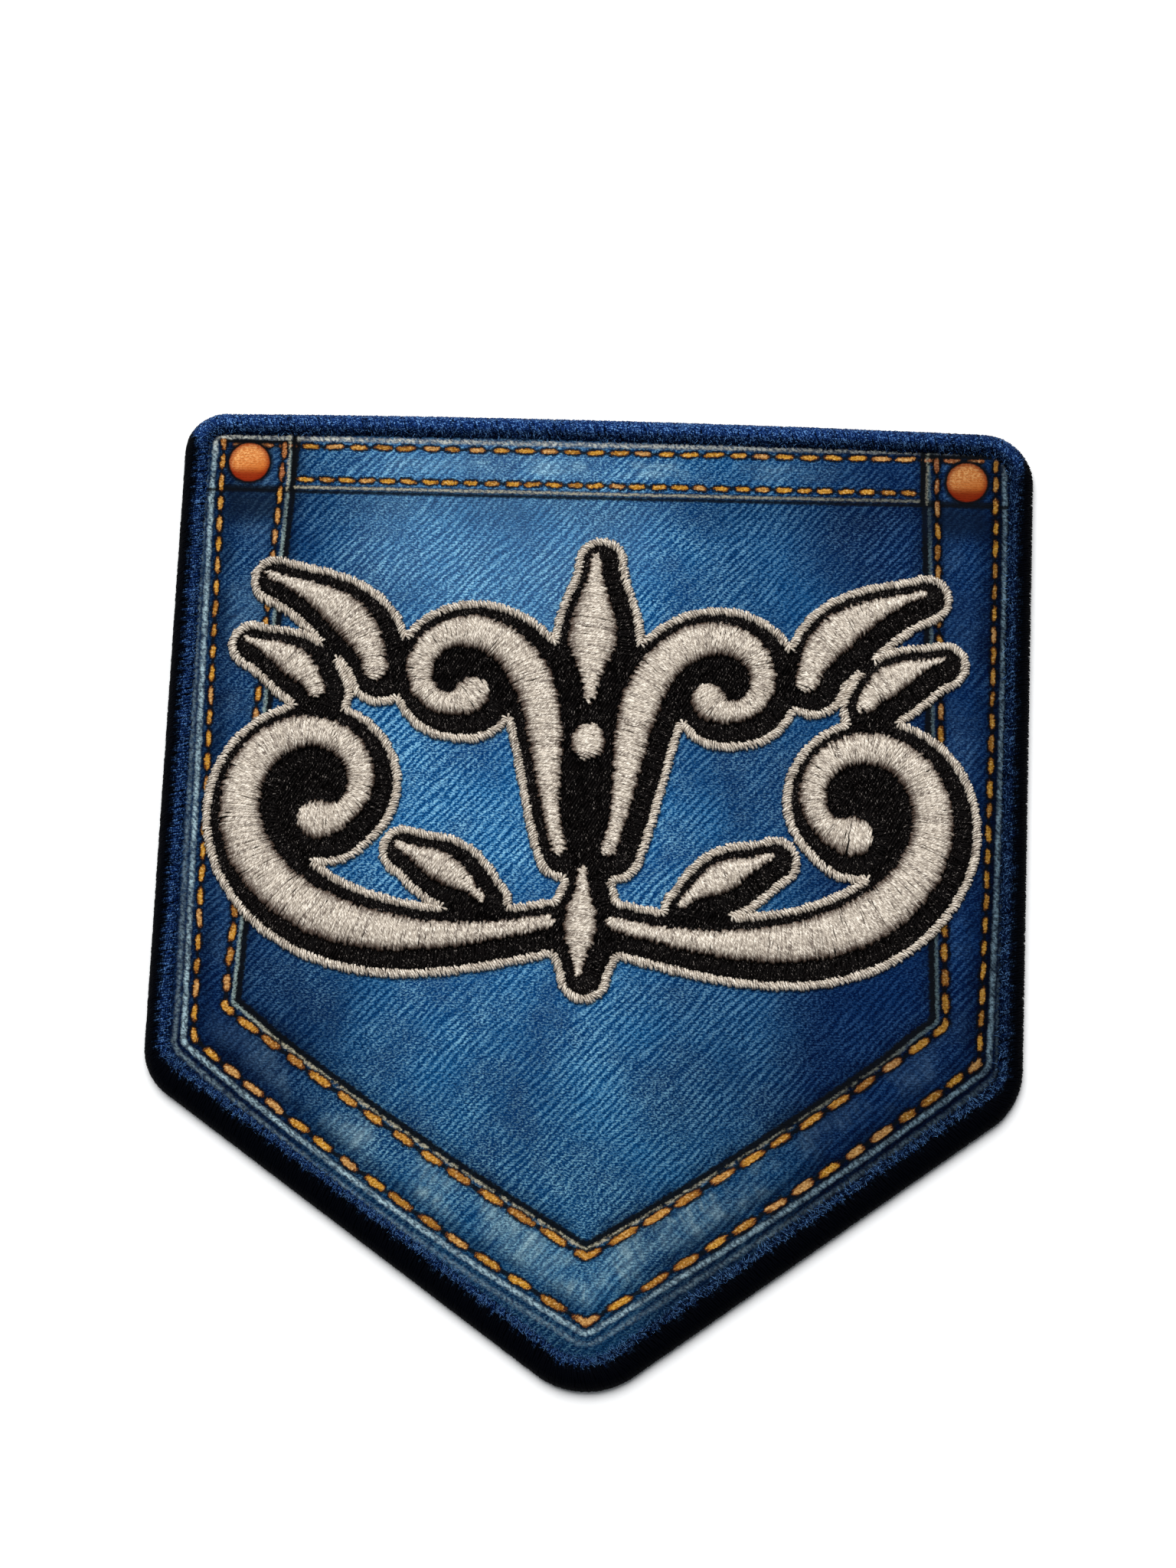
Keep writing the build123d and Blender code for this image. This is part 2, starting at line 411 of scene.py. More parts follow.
class Effect:
    """A shader node group with named inputs and outputs, built once and placed in several finishes."""

    name = "effect"
    inputs: tuple[tuple[str, str], ...] = ()
    outputs: tuple[tuple[str, str], ...] = ()

    @classmethod
    def group(cls) -> bpy.types.NodeTree:
        """The node group, which is made the first time it is asked for."""
        found = bpy.data.node_groups.get(cls.name)
        if found:
            return found
        tree = bpy.data.node_groups.new(cls.name, "ShaderNodeTree")
        for label, kind in cls.inputs:
            tree.interface.new_socket(name=label, in_out="INPUT", socket_type=f"NodeSocket{kind}")
        for label, kind in cls.outputs:
            tree.interface.new_socket(name=label, in_out="OUTPUT", socket_type=f"NodeSocket{kind}")
        source = tree.nodes.new("NodeGroupInput").outputs
        target = tree.nodes.new("NodeGroupOutput").inputs
        cls.wire(Graph(tree), source, target)
        return tree

    @classmethod
    def wire(cls, g: Graph, source: Sources, target: Targets) -> None:
        """Links the group's inputs to its outputs."""
        raise NotImplementedError


class ThreadGrain(Effect):
    """Filaments of a loosely twisted thread: a bump, and flecks that are painted as highlights and as shade
    between them.
    """

    name = "thread grain"
    inputs = (("Along", "Float"), ("Around", "Float"), ("Tone", "Float"), ("Length", "Float"))
    outputs = (("Height", "Float"), ("Hollow", "Float"), ("Glint", "Float"))
    twist = 0.35
    apart = 57.0
    coarse_round = 0.8
    fine_along = 1.7
    fine_round = 2.6
    coarse_share = 0.65

    @classmethod
    def wire(cls, g: Graph, source: Sources, target: Targets) -> None:
        """Stretches noise along the thread and turns it slowly round it."""
        run = g.over(source["Along"], source["Length"])
        apart = g.times(source["Tone"], cls.apart)
        turn = g.times(g.add(source["Around"], g.times(run, cls.twist)), 2 * math.pi)
        sine = g.math("SINE", turn)
        cosine = g.math("COSINE", turn)
        flecks = g.join(g.add(run, apart), g.times(sine, cls.coarse_round), g.times(cosine, cls.coarse_round))
        coarse = g.noise(flecks, 1.0, 1.0)
        hairs_run = g.add(g.times(run, cls.fine_along), apart)
        hairs = g.join(hairs_run, g.times(sine, cls.fine_round), g.times(cosine, cls.fine_round))
        fine = g.noise(hairs, 1.0, 2.0)
        both = g.add(g.times(coarse, cls.coarse_share), g.times(fine, 1 - cls.coarse_share))
        g.feed(target["Height"], fine)
        # painted shade between the filaments; the glint noise places painted highlights
        g.feed(target["Hollow"], g.step(both, 0.53, 0.37))
        g.feed(target["Glint"], both)


class RibWeave(Effect):
    """Close ribs of a stiff woven cloth, with the grit of its uneven yarns."""

    name = "rib weave"
    inputs = (("Place", "Vector"), ("Pitch", "Float"))
    outputs = (("Height", "Float"), ("Valley", "Float"), ("Grit", "Float"))
    wander = 2.6
    wander_scale = 0.35
    grit_x = 3.0
    grit_y = 4.0
    rib_height = 0.5
    grit_height = 2.2

    @classmethod
    def wire(cls, g: Graph, source: Sources, target: Targets) -> None:
        """Lays wandering ribs along x and breaks them up with the grit of the yarns."""
        x, y, _ = g.split(source["Place"])
        stray = g.times(g.noise(source["Place"], cls.wander_scale, 3.0), cls.wander)
        ribs = g.add(g.over(y, source["Pitch"]), stray)
        lift = g.size(g.math("SINE", g.times(ribs, math.pi)))
        grit = g.noise(g.join(g.times(x, cls.grit_x), g.times(y, cls.grit_y)), 1.0, 1.0, 0.7)
        g.feed(target["Height"], g.add(g.times(lift, cls.rib_height), g.times(grit, cls.grit_height)))
        # where painted shade goes: the ribs' valleys
        g.feed(target["Valley"], g.times(g.step(lift, 0.8, 0.1), g.step(grit, 0.65, 0.4)))
        g.feed(target["Grit"], grit)


class DenimFlecks(Effect):
    """Printed denim: fine light and deep flecks, gathered into diagonal lines."""

    name = "denim flecks"
    inputs = (("Place", "Vector"), ("Angle", "Float"), ("Pitch", "Float"))
    outputs = (("Light", "Float"), ("Deep", "Float"))
    wander = 2.4
    streak_along = 0.5
    streak_across = 1.5
    fleck_x = 3.2
    fleck_y = 5.2
    streak_share = 0.17

    @classmethod
    def wire(cls, g: Graph, source: Sources, target: Targets) -> None:
        """Adds fine noise to a wave and longer noise across the twill."""
        x, y, _ = g.split(source["Place"])
        cosine = g.math("COSINE", source["Angle"])
        sine = g.math("SINE", source["Angle"])
        along = g.add(g.times(x, cosine), g.times(y, sine))
        across = g.minus(g.times(y, cosine), g.times(x, sine))
        stray = g.times(g.noise(g.join(g.times(along, 0.35), across), 0.35, 2.0), cls.wander)
        wave = g.math("SINE", g.times(g.add(g.over(across, source["Pitch"]), stray), 2 * math.pi))
        clear = g.step(g.noise(source["Place"], 0.16, 2.0), 0.36, 0.6, 0.025, 0.075)
        leaning = g.join(g.times(along, cls.streak_along), g.times(across, cls.streak_across))
        streak = g.noise(leaning, 1.0, 3.0)
        fleck = g.noise(g.join(g.times(x, cls.fleck_x), g.times(y, cls.fleck_y), 7.0), 1.0, 2.0, 0.7)
        total = g.add(g.times(wave, clear), g.times(streak, cls.streak_share))
        total = g.add(total, g.times(fleck, 1 - cls.streak_share))
        g.feed(target["Light"], g.step(total, 0.45, 0.7))
        g.feed(target["Deep"], g.step(total, 0.56, 0.39))


class StitchRow(Effect):
    """A row of printed topstitches, each with its own length, lean and tone, on a dark line."""

    name = "stitch row"
    inputs = tuple((label, "Float") for label in ("Run", "Across", "Period", "Width", "Row"))
    outputs = tuple((label, "Float") for label in ("Thread", "Line", "Tone", "Crown"))
    stray = 0.25
    drift = 0.3
    lean = 0.3
    fray = 2.2
    end_power = 3.2
    flank_power = 2.4
    dark_room = 0.24
    string_share = 0.45
    string_fray = 0.15

    @classmethod
    def wire(cls, g: Graph, source: Sources, target: Targets) -> None:
        """Cuts the run, which counts stitches, into cells and draws an oval in each."""
        place = g.join(g.times(source["Run"], source["Period"]), source["Across"], source["Row"])
        wobble = g.minus(g.noise(place, 0.7, 1.0), 0.5)
        run = g.add(source["Run"], g.times(wobble, cls.stray))
        cell = g.math("FLOOR", run)
        chance = [g.chance(g.join(cell, source["Row"], float(draw))) for draw in range(4)]
        centred = g.minus(g.math("FRACT", run), g.add(0.46, g.times(chance[0], 0.08)))
        along = g.size(g.times(centred, source["Period"]))
        lean = g.times(g.minus(chance[1], 0.5), cls.lean)
        drift = g.times(wobble, cls.drift)
        beside = g.size(g.add(source["Across"], g.add(g.times(centred, lean), drift)))
        half_length = g.times(source["Period"], g.add(0.34, g.times(chance[2], 0.08)))
        half_width = g.times(source["Width"], 0.5)
        fray = g.wobble(place, 3.6, cls.fray, 2.0, 0.7)
        ovals = []
        for room in (0.0, cls.dark_room):
            end = g.math("POWER", g.over(along, g.add(half_length, room)), cls.end_power)
            flank = g.math("POWER", g.over(beside, g.add(half_width, room)), cls.flank_power)
            ovals.append(g.add(g.add(end, flank), fray))
        string = g.minus(beside, g.times(half_width, cls.string_share))
        string = g.step(g.minus(string, g.times(fray, cls.string_fray)), -0.02, 0.16, 1.0, 0.0)
        g.feed(target["Thread"], g.step(ovals[0], 0.65, 1.2, 1.0, 0.0))
        g.feed(target["Line"], g.most(g.step(ovals[1], 0.6, 1.3, 1.0, 0.0), string))
        g.feed(target["Tone"], chance[3])
        g.feed(target["Crown"], g.step(ovals[0], 0.9, 0.1))


@dataclass(frozen=True)
class ThreadFinish:
    """Embroidery thread with a soft gloss."""

    name: str
    colour: Colour
    painted_shade: Colour
    glint: Colour
    glints: float
    depth: float
    length: float
    roughness: float
    gloss: float
    relief: float
    tone_from: float = 0.45
    tone_shade: float = 0.35
    rarest: float = 0.7
    commonest: float = 0.38

    def material(self) -> bpy.types.Material:
        """The finish as a material, which reads the thread coordinates and the painted light that the mesh
        carries.
        """
        surface = Surface(self.name, self.roughness, self.gloss)
        g = surface.graph
        along, around, tone = g.split(g.carried("thread"))
        nap, shine, _ = g.split(g.carried("nap"))
        grain = g.use(ThreadGrain.group(), Along=along, Around=around, Tone=tone, Length=self.length)
        # painted shade: dark flecks between the filaments, mixed with a random darker tone
        painted_shade = g.times(grain.outputs["Hollow"], self.depth)
        darker = g.add(painted_shade, g.times(g.step(tone, self.tone_from, 0.0), self.tone_shade))
        plain = g.mix(g.least(darker, 1.0), self.colour, self.painted_shade)
        # painted shade wherever the thread's painted brightness falls below 1
        dull = g.mix(g.step(nap, 1.0, 0.0), plain, self.painted_shade)
        edge = self.rarest - (self.rarest - self.commonest) * self.glints
        # painted highlights: glint flecks in the base colour, and stray fibres painted lit
        spark = g.times(g.step(grain.outputs["Glint"], edge, edge + 0.09), nap)
        stray = g.times(shine, g.step(tone, self.tone_from, 1.0))
        surface.colour(g.mix(g.most(spark, stray), dull, self.glint))
        surface.relief(grain.outputs["Height"], 0.8, self.relief)
        return surface.material


# each finish's glint colour is its painted highlight, and its dark second colour its painted shade
WHITE_THREAD = ThreadFinish(
    name="white_satin_thread",
    colour=srgb(206, 193, 176),
    painted_shade=srgb(74, 56, 46),
    glint=srgb(255, 244, 228),
    glints=0.55,
    depth=0.6,
    length=0.42,
    roughness=0.42,
    gloss=0.4,
    relief=0.07,
)
BLACK_THREAD = ThreadFinish(
    name="black_satin_thread",
    colour=srgb(12, 9, 9),
    painted_shade=srgb(3, 2, 2),
    glint=srgb(134, 126, 120),
    glints=0.3,
    depth=0.7,
    length=0.3,
    roughness=0.55,
    gloss=0.035,
    relief=0.05,
)
NAVY_THREAD = ThreadFinish(
    name="navy_border_thread",
    colour=srgb(20, 52, 112),
    painted_shade=srgb(1, 2, 6),
    glint=srgb(108, 156, 208),
    glints=0.5,
    depth=0.85,
    length=0.32,
    roughness=0.6,
    gloss=0.015,
    relief=0.06,
)


class Ramp(NamedTuple):
    """A smooth run from start to end, as a value goes from low to high."""

    low: float
    high: float
    start: float = 0.0
    end: float = 1.0


@dataclass(frozen=True)
class PrintedDenim:
    """Ribbed cloth with a pocket of worn blue denim printed on it; heights are over the shoulders, in mm.

    Attributes:
        blue, deep, pale: the denim, its dark flecks and its light ones.
        rubbed, worn_and_lit: the denim and its light flecks where the blue is worn off; worn_and_lit also
            lightens the upper middle, as painted light with some of the print's own fading.
        night, ink: the deepest shade, and the black of printed lines.
        seam, seam_high: the light line beside the border, and the same above the hem.
        ridge, side_ridge: lit folds beside the stitches, and those along the sides.
        stitch, stitch_pale, stitch_dull, stitch_red: tones of whole topstitches.
        stitch_edge, stitch_light: dark and light flecks on them.
        rivet_light, rivet_mid, rivet_dark: copper of the rivets.
        dim, dusk, gloom: what shade is multiplied by, printed and painted alike, and the painted shade of the
            side edges and of the lower part.
        wear_under, wear_over: how far wear changes the ground, and how far it lightens the flecks.
        rib_shade: how dark the painted shade in the ribs' valleys is.
        upper_row, lower_row, hem_fold, hem_edge: heights of the hem's lines.
        hem_slope: how far the hem climbs for each mm to the right.
        box_line, box_room, box_end: x of the corner boxes' inner frame, of the outer end of their
            stitches, and of their outer end.
        narrow_stitch, wide_stitch: widths of stitches along the sides, and along the flanks.
        flank_room: room for one stitch at which it is still narrow, and from which it is wide.
        rib_relief: depth in mm that the weave's height stands for.
        hem_shadow: shade under the hem, by height.
        low_gloom: painted shade of the lower part, by height.
        right_dusk, near_dusk, left_dusk: painted shade of the two sides, by x.
        seam_, fold_, hem_, box_, rivet_ and row_painted_shade: painted shade on those marks, by x.
        bloom_middle, bloom_room: middle and half size of the lighter part of the print, painted light with
            some of the print's own fading.
        corner_low, corner_side: painted shade of the lower corners, by height and by distance from the
            middle.
        flank_ramp: heights over which the sides turn into the flanks.
        worn_low: noise above which the blue is worn, by height.
        hem_worn_from, hem_worn_to, hem_worn_side: wear of the hem, by height and from the middle.
        seam_near, seam_far: how far the two light lines lie outside the stitches, by height.
        edge_room, fold_room, fold_gaps: how far the dark line and the light fold lie inside the
            stitches, and how broken the fold is, along the sides (0) and flanks (1).
        box_ramp: heights over which the side rows enter the boxes.
        row_top: heights over which they end.
    """

    name: str = "printed_denim_cloth"
    blue: Colour = srgb(16, 104, 162)
    deep: Colour = srgb(3, 50, 102)
    pale: Colour = srgb(144, 200, 226)
    worn_and_lit: Colour = srgb(172, 208, 224)
    night: Colour = srgb(7, 18, 36)
    ink: Colour = srgb(9, 11, 14)
    seam: Colour = srgb(162, 188, 196)
    seam_high: Colour = srgb(200, 199, 186)
    ridge: Colour = srgb(172, 166, 142)
    side_ridge: Colour = srgb(136, 154, 150)
    stitch: Colour = srgb(190, 136, 44)
    stitch_pale: Colour = srgb(184, 136, 78)
    stitch_dull: Colour = srgb(156, 106, 38)
    stitch_red: Colour = srgb(150, 84, 60)
    stitch_edge: Colour = srgb(96, 50, 20)
    stitch_light: Colour = srgb(240, 206, 150)
    rivet_light: Colour = srgb(232, 168, 104)
    rivet_mid: Colour = srgb(194, 104, 42)
    rivet_dark: Colour = srgb(128, 32, 10)
    dim: Colour = srgb(84, 104, 124)
    dusk: Colour = srgb(4, 60, 112)
    gloom: Colour = srgb(90, 96, 70)
    rubbed: Colour = srgb(84, 136, 164)
    wear_under: float = 0.9
    wear_over: float = 0.42
    rib_pitch: float = 0.29
    rib_shade: float = 0.3
    rib_relief: float = 0.06
    twill_pitch: float = 0.8
    twill_angle: float = 48.0
    upper_row: float = 77.55
    lower_row: float = 73.35
    upper_period: float = 2.85
    lower_period: float = 2.5
    hem_fold: float = 72.35
    hem_edge: float = 71.8
    hem_slope: float = 0.006
    box_line: float = 37.8
    box_room: float = 45.4
    box_end: float = 46.6
    rivet_x: float = 43.1
    rivet_y: float = 75.1
    rivet_radius: float = 2.42
    hem_stitch: float = 0.62
    box_stitch: float = 0.5
    narrow_stitch: float = 0.62
    wide_stitch: float = 0.9
    flank_room: tuple[float, float] = (2.7, 3.1)
    roughness: float = 0.8
    gloss: float = 0.02
    hem_shadow: Ramp = Ramp(66.0, 71.6, 0.0, 0.3)
    low_gloom: Ramp = Ramp(30.0, -18.0, 0.0, 0.4)
    right_dusk: Ramp = Ramp(3.0, 37.0, 0.0, 0.86)
    near_dusk: Ramp = Ramp(2.0, 17.0, 0.0, 0.5)
    left_dusk: Ramp = Ramp(-18.0, -44.0, 0.0, 0.75)
    seam_painted_shade: Ramp = Ramp(-20.0, 46.0, 0.0, 0.75)
    fold_painted_shade: Ramp = Ramp(-5.0, 36.0, 0.0, 0.8)
    hem_painted_shade: Ramp = Ramp(5.0, 36.0, 0.0, 0.7)
    box_painted_shade: Ramp = Ramp(0.0, 36.0, 0.0, 0.6)
    rivet_painted_shade: Ramp = Ramp(20.0, 40.0, 0.0, 0.4)
    row_painted_shade: Ramp = Ramp(10.0, 44.0, 0.0, 0.5)
    bloom_middle: tuple[float, float] = (-13.0, 68.0)
    bloom_room: tuple[float, float] = (22.0, 20.0)
    corner_low: Ramp = Ramp(36.0, -6.0)
    corner_side: Ramp = Ramp(14.0, 38.0, 0.0, 0.25)
    flank_ramp: Ramp = Ramp(9.0, 4.0)
    worn_low: Ramp = Ramp(4.0, -26.0, 0.42, 0.34)
    hem_worn_from: Ramp = Ramp(74.0, 75.0)
    hem_worn_to: Ramp = Ramp(77.0, 76.0)
    hem_worn_side: Ramp = Ramp(40.0, 4.0, 0.0, 0.6)
    seam_near: Ramp = Ramp(70.0, 78.0, 1.15, 0.95)
    seam_far: Ramp = Ramp(10.0, 0.0, 2.0, 2.4)
    edge_room: Ramp = Ramp(0.0, 1.0, 1.42, 1.12)
    fold_room: Ramp = Ramp(0.0, 1.0, 0.93, 0.66)
    fold_gaps: Ramp = Ramp(0.0, 1.0, 0.0, 0.36)
    box_ramp: Ramp = Ramp(71.5, 73.0)
    row_top: Ramp = Ramp(78.2, 77.8)

    def material(self, lift: float) -> bpy.types.Material:
        """The print as a material, which reads the seam coordinates of the mesh.

        Args:
            lift: what takes a height in the row frame to a height over the shoulders, in mm.

        Returns:
            The material.
        """
        surface = Surface(self.name, self.roughness, self.gloss)
        drawn = PocketPrint(self, surface.graph, lift)
        surface.colour(drawn.draw())
        surface.relief(drawn.weave.outputs["Height"], 0.6, self.rib_relief)
        return surface.material


class PocketPrint:
    """The pocket while it is drawn on the cloth, one layer over another."""

    def __init__(self, look: PrintedDenim, g: Graph, lift: float) -> None:
        """Reads from the mesh what the layers go by."""
        self.look = look
        self.g = g
        self.place = g.place()
        self.x, row_y, _ = g.split(self.place)
        self.y = g.add(row_y, lift)
        self.outer_run, self.outer_across, self.within = g.split(g.carried("outer_seam"))
        self.inner_run, self.inner_across, _ = g.split(g.carried("inner_seam"))
        self.outer_period, self.inner_period, _ = g.split(g.carried("stitch_period"))
        self.weave = g.use(RibWeave.group(), Place=self.place, Pitch=look.rib_pitch)
        self.grit = self.weave.outputs["Grit"]
        self.rough = g.wobble(self.place, 2.6, 0.45, 3.0, 0.7)
        self.away = g.size(self.x)
        self.flank = g.step(self.y, *look.flank_ramp)
        self.hem_y = g.add(g.minus(self.y, g.times(self.x, look.hem_slope)), self.rough)
        self.inside = g.step(self.away, look.box_line, look.box_line - 0.2)

    def draw(self) -> Socket:
        """Draws every layer in order and gives the finished colour."""
        self.colour = self.denim(self.wear())
        self.shadows()
        self.painted_light_fall()
        self.shade(self.g.step(self.grit, 0.52, 0.3, 0.0, 0.4))
        self.inner_fold()
        self.border_seam()
        self.hem()
        self.corner_boxes()
        self.rivets()
        self.side_rows()
        # painted shade in the ribs' valleys
        self.shade(self.g.times(self.weave.outputs["Valley"], self.look.rib_shade))
        return self.colour

    def paint(self, mask: object, colour: object) -> None:
        """Lays a colour over the print where the mask is 1."""
        self.colour = self.g.mix(mask, self.colour, colour)

    def shaded(self, colour: object, share: object) -> Socket:
        """A colour dimmed by a share from 0 to 1, and a little bluer."""
        return self.g.mix(share, colour, self.g.mix(1.0, colour, self.look.dim, "MULTIPLY"))

    def shade(self, share: object) -> None:
        """Dims the print by a share from 0 to 1."""
        self.colour = self.shaded(self.colour, share)

    def wear(self) -> Socket:
        """How far the blue is rubbed off, from 0 to 1: streaks between the two seams and in the hem."""
        g, look = self.g, self.look
        leaning = g.join(g.times(self.outer_run, 3.6), g.times(self.outer_across, 0.25))
        streaks = g.step(g.noise(leaning, 1.0, 3.0, 0.65), 0.36, 0.64, 0.3, 1.0)
        patches = g.step(g.noise(self.place, 0.14, 3.0, 0.6), g.step(self.y, *look.worn_low), 0.56)
        between = g.times(g.step(self.outer_across, 0.7, 2.4), g.step(self.inner_across, 0.0, -1.2))
        on_flank = g.times(between, g.add(g.times(self.flank, 0.7), 0.3))
        in_hem = g.times(
            g.step(self.hem_y, *look.hem_worn_from),
            g.step(self.hem_y, *look.hem_worn_to),
            g.step(self.away, *look.hem_worn_side),
        )
        return g.times(streaks, patches, g.most(on_flank, in_hem))

    def denim(self, wear: Socket) -> Socket:
        """The worn blue of the pocket, without its seams.

        Args:
            wear: how far the blue is rubbed off, from 0 to 1.

        Returns:
            The colour of the denim.
        """
        g, look = self.g, self.look
        turn = math.radians(look.twill_angle)
        flecks = g.use(DenimFlecks.group(), Place=self.place, Angle=turn, Pitch=look.twill_pitch)
        base = g.mix(g.step(g.noise(self.place, 0.08, 4.0, 0.6), 0.24, 0.66), look.deep, look.blue)
        base = g.mix(g.times(wear, look.wear_under), base, look.rubbed)
        darkened = g.mix(g.times(flecks.outputs["Deep"], 0.9), base, look.deep)
        strength = g.most(g.step(g.noise(self.place, 0.1, 3.0, 0.6), 0.28, 0.68, 0.4, 1.0), wear)
        light = g.add(flecks.outputs["Light"], g.times(wear, look.wear_over))
        share = g.least(g.times(light, strength), 1.0)
        return g.mix(share, darkened, g.mix(wear, look.pale, look.worn_and_lit))

    def shadows(self) -> None:
        """Shades the denim in patches beside both rows of stitches, and under the hem."""
        g = self.g
        by_inner = g.band(self.inner_across, 1.1, 0.3, 2.4)
        by_outer = g.band(self.outer_across, 0.5, 0.3, 2.4)
        uneven = g.step(g.noise(self.place, 0.35, 2.0), 0.3, 0.65, 0.3, 0.75)
        self.shade(g.times(g.most(by_inner, by_outer), uneven))
        self.shade(g.times(g.step(self.hem_y, *self.look.hem_shadow), g.step(self.hem_y, 72.2, 71.9)))

    def painted_light_fall(self) -> None:
        """Lightens the print at its upper middle and darkens it to its sides and lower corners, as painted
        light and shade; the lighter middle is partly the print's own fading.
        """
        g, look = self.g, self.look
        moved = g.add(self.x, g.wobble(self.place, 0.05, 24.0, 3.0))
        middle_x, middle_y = look.bloom_middle
        wide, high = look.bloom_room
        beside = g.math("POWER", g.over(g.add(moved, -middle_x), wide), 2.0)
        over = g.math("POWER", g.over(g.minus(self.y, middle_y), high), 2.0)
        # painted light over the upper middle, with some of the print's own fading
        self.paint(g.step(g.add(beside, over), 1.0, 0.1, 0.0, 0.06), look.worn_and_lit)
        # painted shade over the lower part
        self.paint(g.step(self.y, *look.low_gloom), g.mix(1.0, self.colour, look.gloom, "MULTIPLY"))
        # painted shade to the sides and the lower corners
        right = g.most(g.step(moved, *look.right_dusk), g.step(moved, *look.near_dusk))
        left = g.step(moved, *look.left_dusk)
        corners = g.times(g.step(self.y, *look.corner_low), g.step(self.away, *look.corner_side))
        share = g.least(g.add(g.most(right, left), corners), 0.9)
        self.paint(share, g.mix(1.0, self.colour, look.dusk, "MULTIPLY"))

    def inner_fold(self) -> None:
        """Draws the light fold and the dark line inside the inner stitches."""
        g, look = self.g, self.look
        moved = g.add(self.inner_across, g.wobble(self.place, 3.0, 0.8, 3.0, 0.75))
        edge = g.band(moved, g.step(self.flank, *look.edge_room), 0.3, 0.32, 0.96)
        broken = g.step(g.noise(self.place, 1.1, 2.0), g.step(self.flank, *look.fold_gaps), 0.52)
        fleck = g.step(self.grit, 0.32, 0.62, 0.25, 1.0)
        fold = g.band(moved, g.step(self.flank, *look.fold_room), 0.1, 0.22, 0.9)
        # painted shade: the fold darker towards the right
        light = self.shaded(g.mix(self.flank, look.side_ridge, look.ridge), g.step(self.x, *look.fold_painted_shade))
        self.paint(edge, look.ink)
        self.paint(g.times(fold, broken, fleck), light)

    def border_seam(self) -> None:
        """Draws the two light lines between the border and the outer stitches, and shade by the border."""
        g, look = self.g, self.look
        to_row = g.most(g.times(self.outer_across, -1.0), g.minus(self.hem_y, look.upper_row))
        flat = g.join(self.x, self.y)
        wave = g.wobble(flat, 1.1, 0.7, 4.0, 0.75)
        moved = g.add(to_row, wave)
        near = g.band(moved, g.step(self.y, *look.seam_near), 0.06, 0.4)
        far = g.band(moved, g.step(self.y, *look.seam_far), 0.0, 0.5, 0.35)
        leaning = g.join(g.add(self.x, self.y), g.times(g.minus(self.x, self.y), 0.5))
        flecks = g.step(g.noise(leaning, 2.4, 1.0), 0.38, 0.56, 0.25, 1.0)
        teeth = g.times(g.step(self.grit, 0.3, 0.6, 0.45, 1.0), flecks)
        lines = g.times(g.most(near, far), teeth)
        patchy = g.step(g.noise(flat, 0.4, 2.0), 0.3, 0.6, 0.45, 1.0)
        light = g.mix(g.step(self.y, 75.0, 79.0), look.seam, look.seam_high)
        under = self.shaded(self.colour, g.step(to_row, 0.4, 0.8, 0.0, 0.65))
        lined = g.mix(g.times(lines, patchy), under, light)
        seamed = g.mix(g.step(g.add(self.within, wave), 0.45, 0.0, 0.0, 0.9), lined, look.night)
        # painted shade: the seam lines darker towards the right
        self.paint(g.step(to_row, 0.1, 0.4), self.shaded(seamed, g.step(self.x, *look.seam_painted_shade)))

    def hem(self) -> None:
        """Draws the hem's lit fold, its dark edge and its two rows of stitches, between the boxes."""
        g, look = self.g, self.look
        self.shade(g.times(g.band(self.hem_y, look.hem_fold, 0.2, 0.3, 0.9), self.inside))
        fleck = g.step(self.grit, 0.36, 0.58, 0.3, 1.0)
        folded = g.times(g.band(self.hem_y, look.hem_fold, 0.02, 0.28, 0.8), self.inside, fleck)
        # painted shade: the hem's fold darker towards the right
        self.paint(folded, self.shaded(look.ridge, g.step(self.x, *look.hem_painted_shade)))
        self.paint(g.band(self.hem_y, look.hem_edge, 0.08, 0.3, 0.92), look.ink)
        sewn = self.colour
        # height, period, number of the row
        rows = ((look.upper_row, look.upper_period, 5.0), (look.lower_row, look.lower_period, 6.0))
        for level, period, row in rows:
            across = g.minus(self.hem_y, level)
            sewn = self.stitches(sewn, 0.0, row, g.over(self.x, period), across, period, look.hem_stitch)
        self.paint(g.times(self.inside, g.step(self.hem_y, look.hem_fold + 0.2, look.hem_fold + 0.4)), sewn)

    def corner_boxes(self) -> None:
        """Draws the shadow under the two boxes, their dark and lit frames and their dull stitches."""
        g, look = self.g, self.look
        uneven = g.add(self.away, self.rough)
        high = g.step(self.hem_y, look.hem_edge - 0.1, look.hem_edge + 0.2)
        beyond = g.step(self.away, look.box_line - 0.3, look.box_line)
        outside = g.times(beyond, g.step(self.away, look.box_end + 0.6, look.box_end))
        shadow = g.times(g.band(self.away, 42.0, 2.5, 2.5), g.band(self.hem_y, 70.0, 0.6, 3.0, 0.75))
        self.paint(shadow, look.night)
        foot = g.times(g.band(self.hem_y, look.hem_edge + 0.3, 0.14, 0.5, 0.85), outside)
        roof = g.times(g.band(self.hem_y, look.upper_row + 0.45, 0.1, 0.25), outside)
        top_row = g.minus(self.hem_y, look.upper_row)
        run = g.over(self.x, look.upper_period)
        dull = self.stitches(self.colour, 0.75, 8.0, run, top_row, look.upper_period, look.box_stitch)
        above = g.step(self.hem_y, 76.6, 77.0)
        within = g.times(high, outside, above, g.step(self.away, look.box_room, look.box_room - 0.4))
        self.paint(within, g.mix(0.25, dull, look.ink))
        self.paint(g.most(foot, roof), look.ink)
        self.paint(g.times(g.band(uneven, look.box_line, 0.12, 0.3), high), look.ink)
        broken = g.step(self.grit, 0.4, 0.6, 0.1, 0.9)
        lit = g.times(g.band(uneven, look.box_line + 0.55, 0.03, 0.26, 0.85), high, broken)
        # painted shade: the boxes' lit frame darker towards the right
        self.paint(lit, self.shaded(look.ridge, g.step(self.x, *look.box_painted_shade)))

